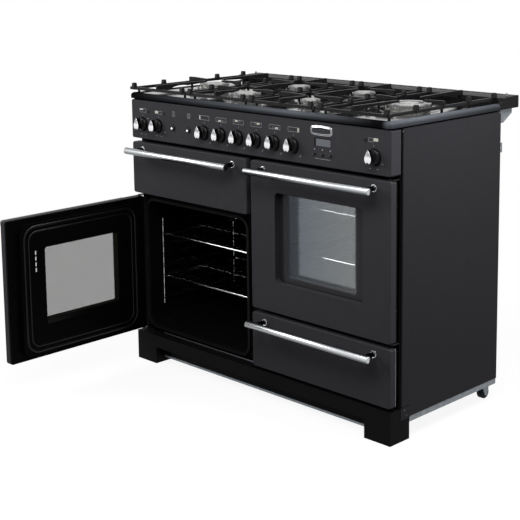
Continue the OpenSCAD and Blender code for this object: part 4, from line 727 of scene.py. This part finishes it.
# Right door: a light metal film, lighter to the right, as a painted reflection over the dark oven; open door: a dark
# tint
dress("right_door_glass", pane("right_glass", 0, RIGHT_WINDOW, (0.1325, 0.1245), 0.002, (0.04, 0.05),
                               (200, 212, 226), (250, 255, 255), 1.0, (34, 33, 35)))
dress("left_door_glass", pane("left_glass", 1, LEFT_WINDOW, (0.1525, 0.117), 0.006, (0.27, 0.0),
                              (40, 43, 34), (46, 48, 40), 0.0, (2, 2, 3)))


def bead_ring(w, h, r, wide, high):
    """A pressed bead round a panel, its crest towards +Y."""
    bm = outline(w, h, r, 8)
    bmesh.ops.reverse_faces(bm, faces=bm.faces)
    middle = bm.faces[:]
    step = wide / 4 / MM
    for rise in (0.75, 0.25, -0.25, -0.75):
        bmesh.ops.inset_region(bm, faces=middle, thickness=step, depth=high / MM * rise, use_boundary=True)
    bmesh.ops.delete(bm, geom=middle, context="FACES_ONLY")
    return bm


for side, cx, cz, body, place in (("left", -277.5, 331.5, "left_oven_door", OPENED),
                                  ("right", 277.5, 515.5, "right_oven_door", Matrix())):
    bead = joined(bead_ring(438, 404, 46, 7, 1.6), bead_ring(404, 370, 34, 5, 1.2))
    piece(f"{side}_plug_bead", moved(bead, place @ at(cx, 46, cz)), BEAD_ENAMEL_PAINTED_LIGHTER, body)


# The side panels' skirts over the feet, each with its screw, then two screws in the right door's edge and a stud
for s, side in ((-1, "left"), (1, "right")):
    cover = raised(outline(40, 35, 0.4), 0.5)
    turn = Matrix.Rotation(s * pi / 2, 4, "Z")
    piece(f"side_skirt_{side}", moved(cover, at(s * 546.1, 66, 79.6) @ turn), ANTHRACITE, "cabinet")
    screw = moved(turned([(0, 0), (3.2, 0), (3, -0.7), (2.2, -1.2), (0, -1.3)], 24), at(s * 546.6, 70, 72) @ turn)
    piece(f"skirt_screw_{side}", screw, SCREW_BLACK, "cabinet")
for name, z in (("upper", 672), ("lower", 381)):
    screw = moved(turned([(0, 0), (3.4, 0), (3.2, -0.6), (0, -0.8)], 24),
                  at(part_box("right_door_panel")[1][0] * MM, 21, z) @ SIDEWAYS)
    piece(f"door_screw_{name}", screw, COLLAR_BLACK, "right_oven_door")
stud = moved(turned([(5, 0), (1.8, -8), (0, -8.3)], 24), at(-530, 558, 921) @ UPRIGHT.inverted())
piece("flue_stud_left", stud, SCREW_BLACK, "cabinet")


# ---------------------------------------------------------------- studio

def lit(f):
    """1 for what the camera sees, straight on or in metal and glass."""
    path = f.add("ShaderNodeLightPath", output="Is Camera Ray")
    outputs = path.socket.node.outputs
    return path.top(Value(f, outputs["Is Glossy Ray"])).top(Value(f, outputs["Is Transmission Ray"]))


def studio():
    """A floor that looks white but for the object's shadow close by, and a white room."""
    floor = bmesh.new()
    bmesh.ops.create_grid(floor, x_segments=2, y_segments=2, size=14)
    mesh = bpy.data.meshes.new("floor")
    floor.to_mesh(mesh)
    floor.free()
    ground = bpy.data.objects.new("floor", mesh)
    scene.collection.objects.link(ground)
    f = Finish("pale_floor")
    x, y, _ = f.axes()
    away = ((x * x + y * y) ** 0.5).smooth(0.5, 1.6)
    chalk = f.mix(tone(246, 246, 246), tone(250, 250, 250), f.noise(3, 2))
    matt = f.shader(chalk, 0.9, Specular_IOR_Level=0.0)
    slate = f.shader(tone(60, 60, 62), 0.9, Specular_IOR_Level=0.0)
    glow = f.add("ShaderNodeEmission", inputs={"Color": (1, 1, 1, 1), "Strength": 1.0})
    shown = f.blend(matt, glow, away * 0.1 + 0.9)
    mesh.materials.append(f.done(f.blend(slate, shown, lit(f))))

    world = bpy.data.worlds.new("studio")
    scene.world = world
    f = Finish("studio", world)
    grey = f.add("ShaderNodeBackground", inputs={"Color": (0.92, 0.94, 1, 1), "Strength": 0.08})
    white = f.add("ShaderNodeBackground", inputs={"Color": (1, 1, 1, 1), "Strength": 1.0})
    f.done(f.blend(grey, white, lit(f)), "ShaderNodeOutputWorld")
    scene.view_settings.view_transform = "Standard"


def lamp(name, place, target, size, power):
    """A rectangular lamp that faces its target; size in metres, power in watts."""
    data = bpy.data.lights.new(name, "AREA")
    data.shape = "RECTANGLE"
    data.size, data.size_y = size
    data.energy = power
    obj = bpy.data.objects.new(name, data)
    obj.location = place
    obj.rotation_euler = (Vector(target) - Vector(place)).to_track_quat("-Z", "Y").to_euler()
    scene.collection.objects.link(obj)


CAMERA_PLACE = (2.5372, -2.4539, 1.3482)
CAMERA_TURN = (45.37, 8.84, -0.71)   # degrees to the left, down, and about its own axis
LENS, SENSOR, SHIFT_Y = 83.31, 36, -0.2308


def camera():
    """The photo's view: place, turn, lens and shift come from a camera fitted to it."""
    data = bpy.data.cameras.new("camera")
    data.lens, data.sensor_width, data.shift_y = LENS, SENSOR, SHIFT_Y
    data.clip_end = 60
    obj = bpy.data.objects.new("camera", data)
    yaw, pitch, roll = (radians(a) for a in CAMERA_TURN)
    ahead = Vector((-sin(yaw) * cos(pitch), cos(yaw) * cos(pitch), -sin(pitch)))
    right = Vector((cos(yaw), sin(yaw), 0))
    up = right.cross(ahead)
    turn = Matrix((right * cos(roll) + up * sin(roll), up * cos(roll) - right * sin(roll), -ahead)).transposed()
    obj.matrix_world = Matrix.Translation(CAMERA_PLACE) @ turn.to_4x4()
    scene.collection.objects.link(obj)
    scene.camera = obj


studio()
lamp("key", (-1.9, -1.7, 1.7), (0, 0, 0.6), (1.3, 1.1), 58)
lamp("front", (0.8, -1.1, 2.05), (0.3, 0, 0.75), (2.0, 0.8), 44)
lamp("side", (1.2, 0.35, 1.8), (0.5, 0.25, 0.8), (0.7, 0.8), 25)
lamp("top", (0.1, 0.5, 3.0), (0, 0.2, 0.9), (2.0, 1.2), 20)
camera()
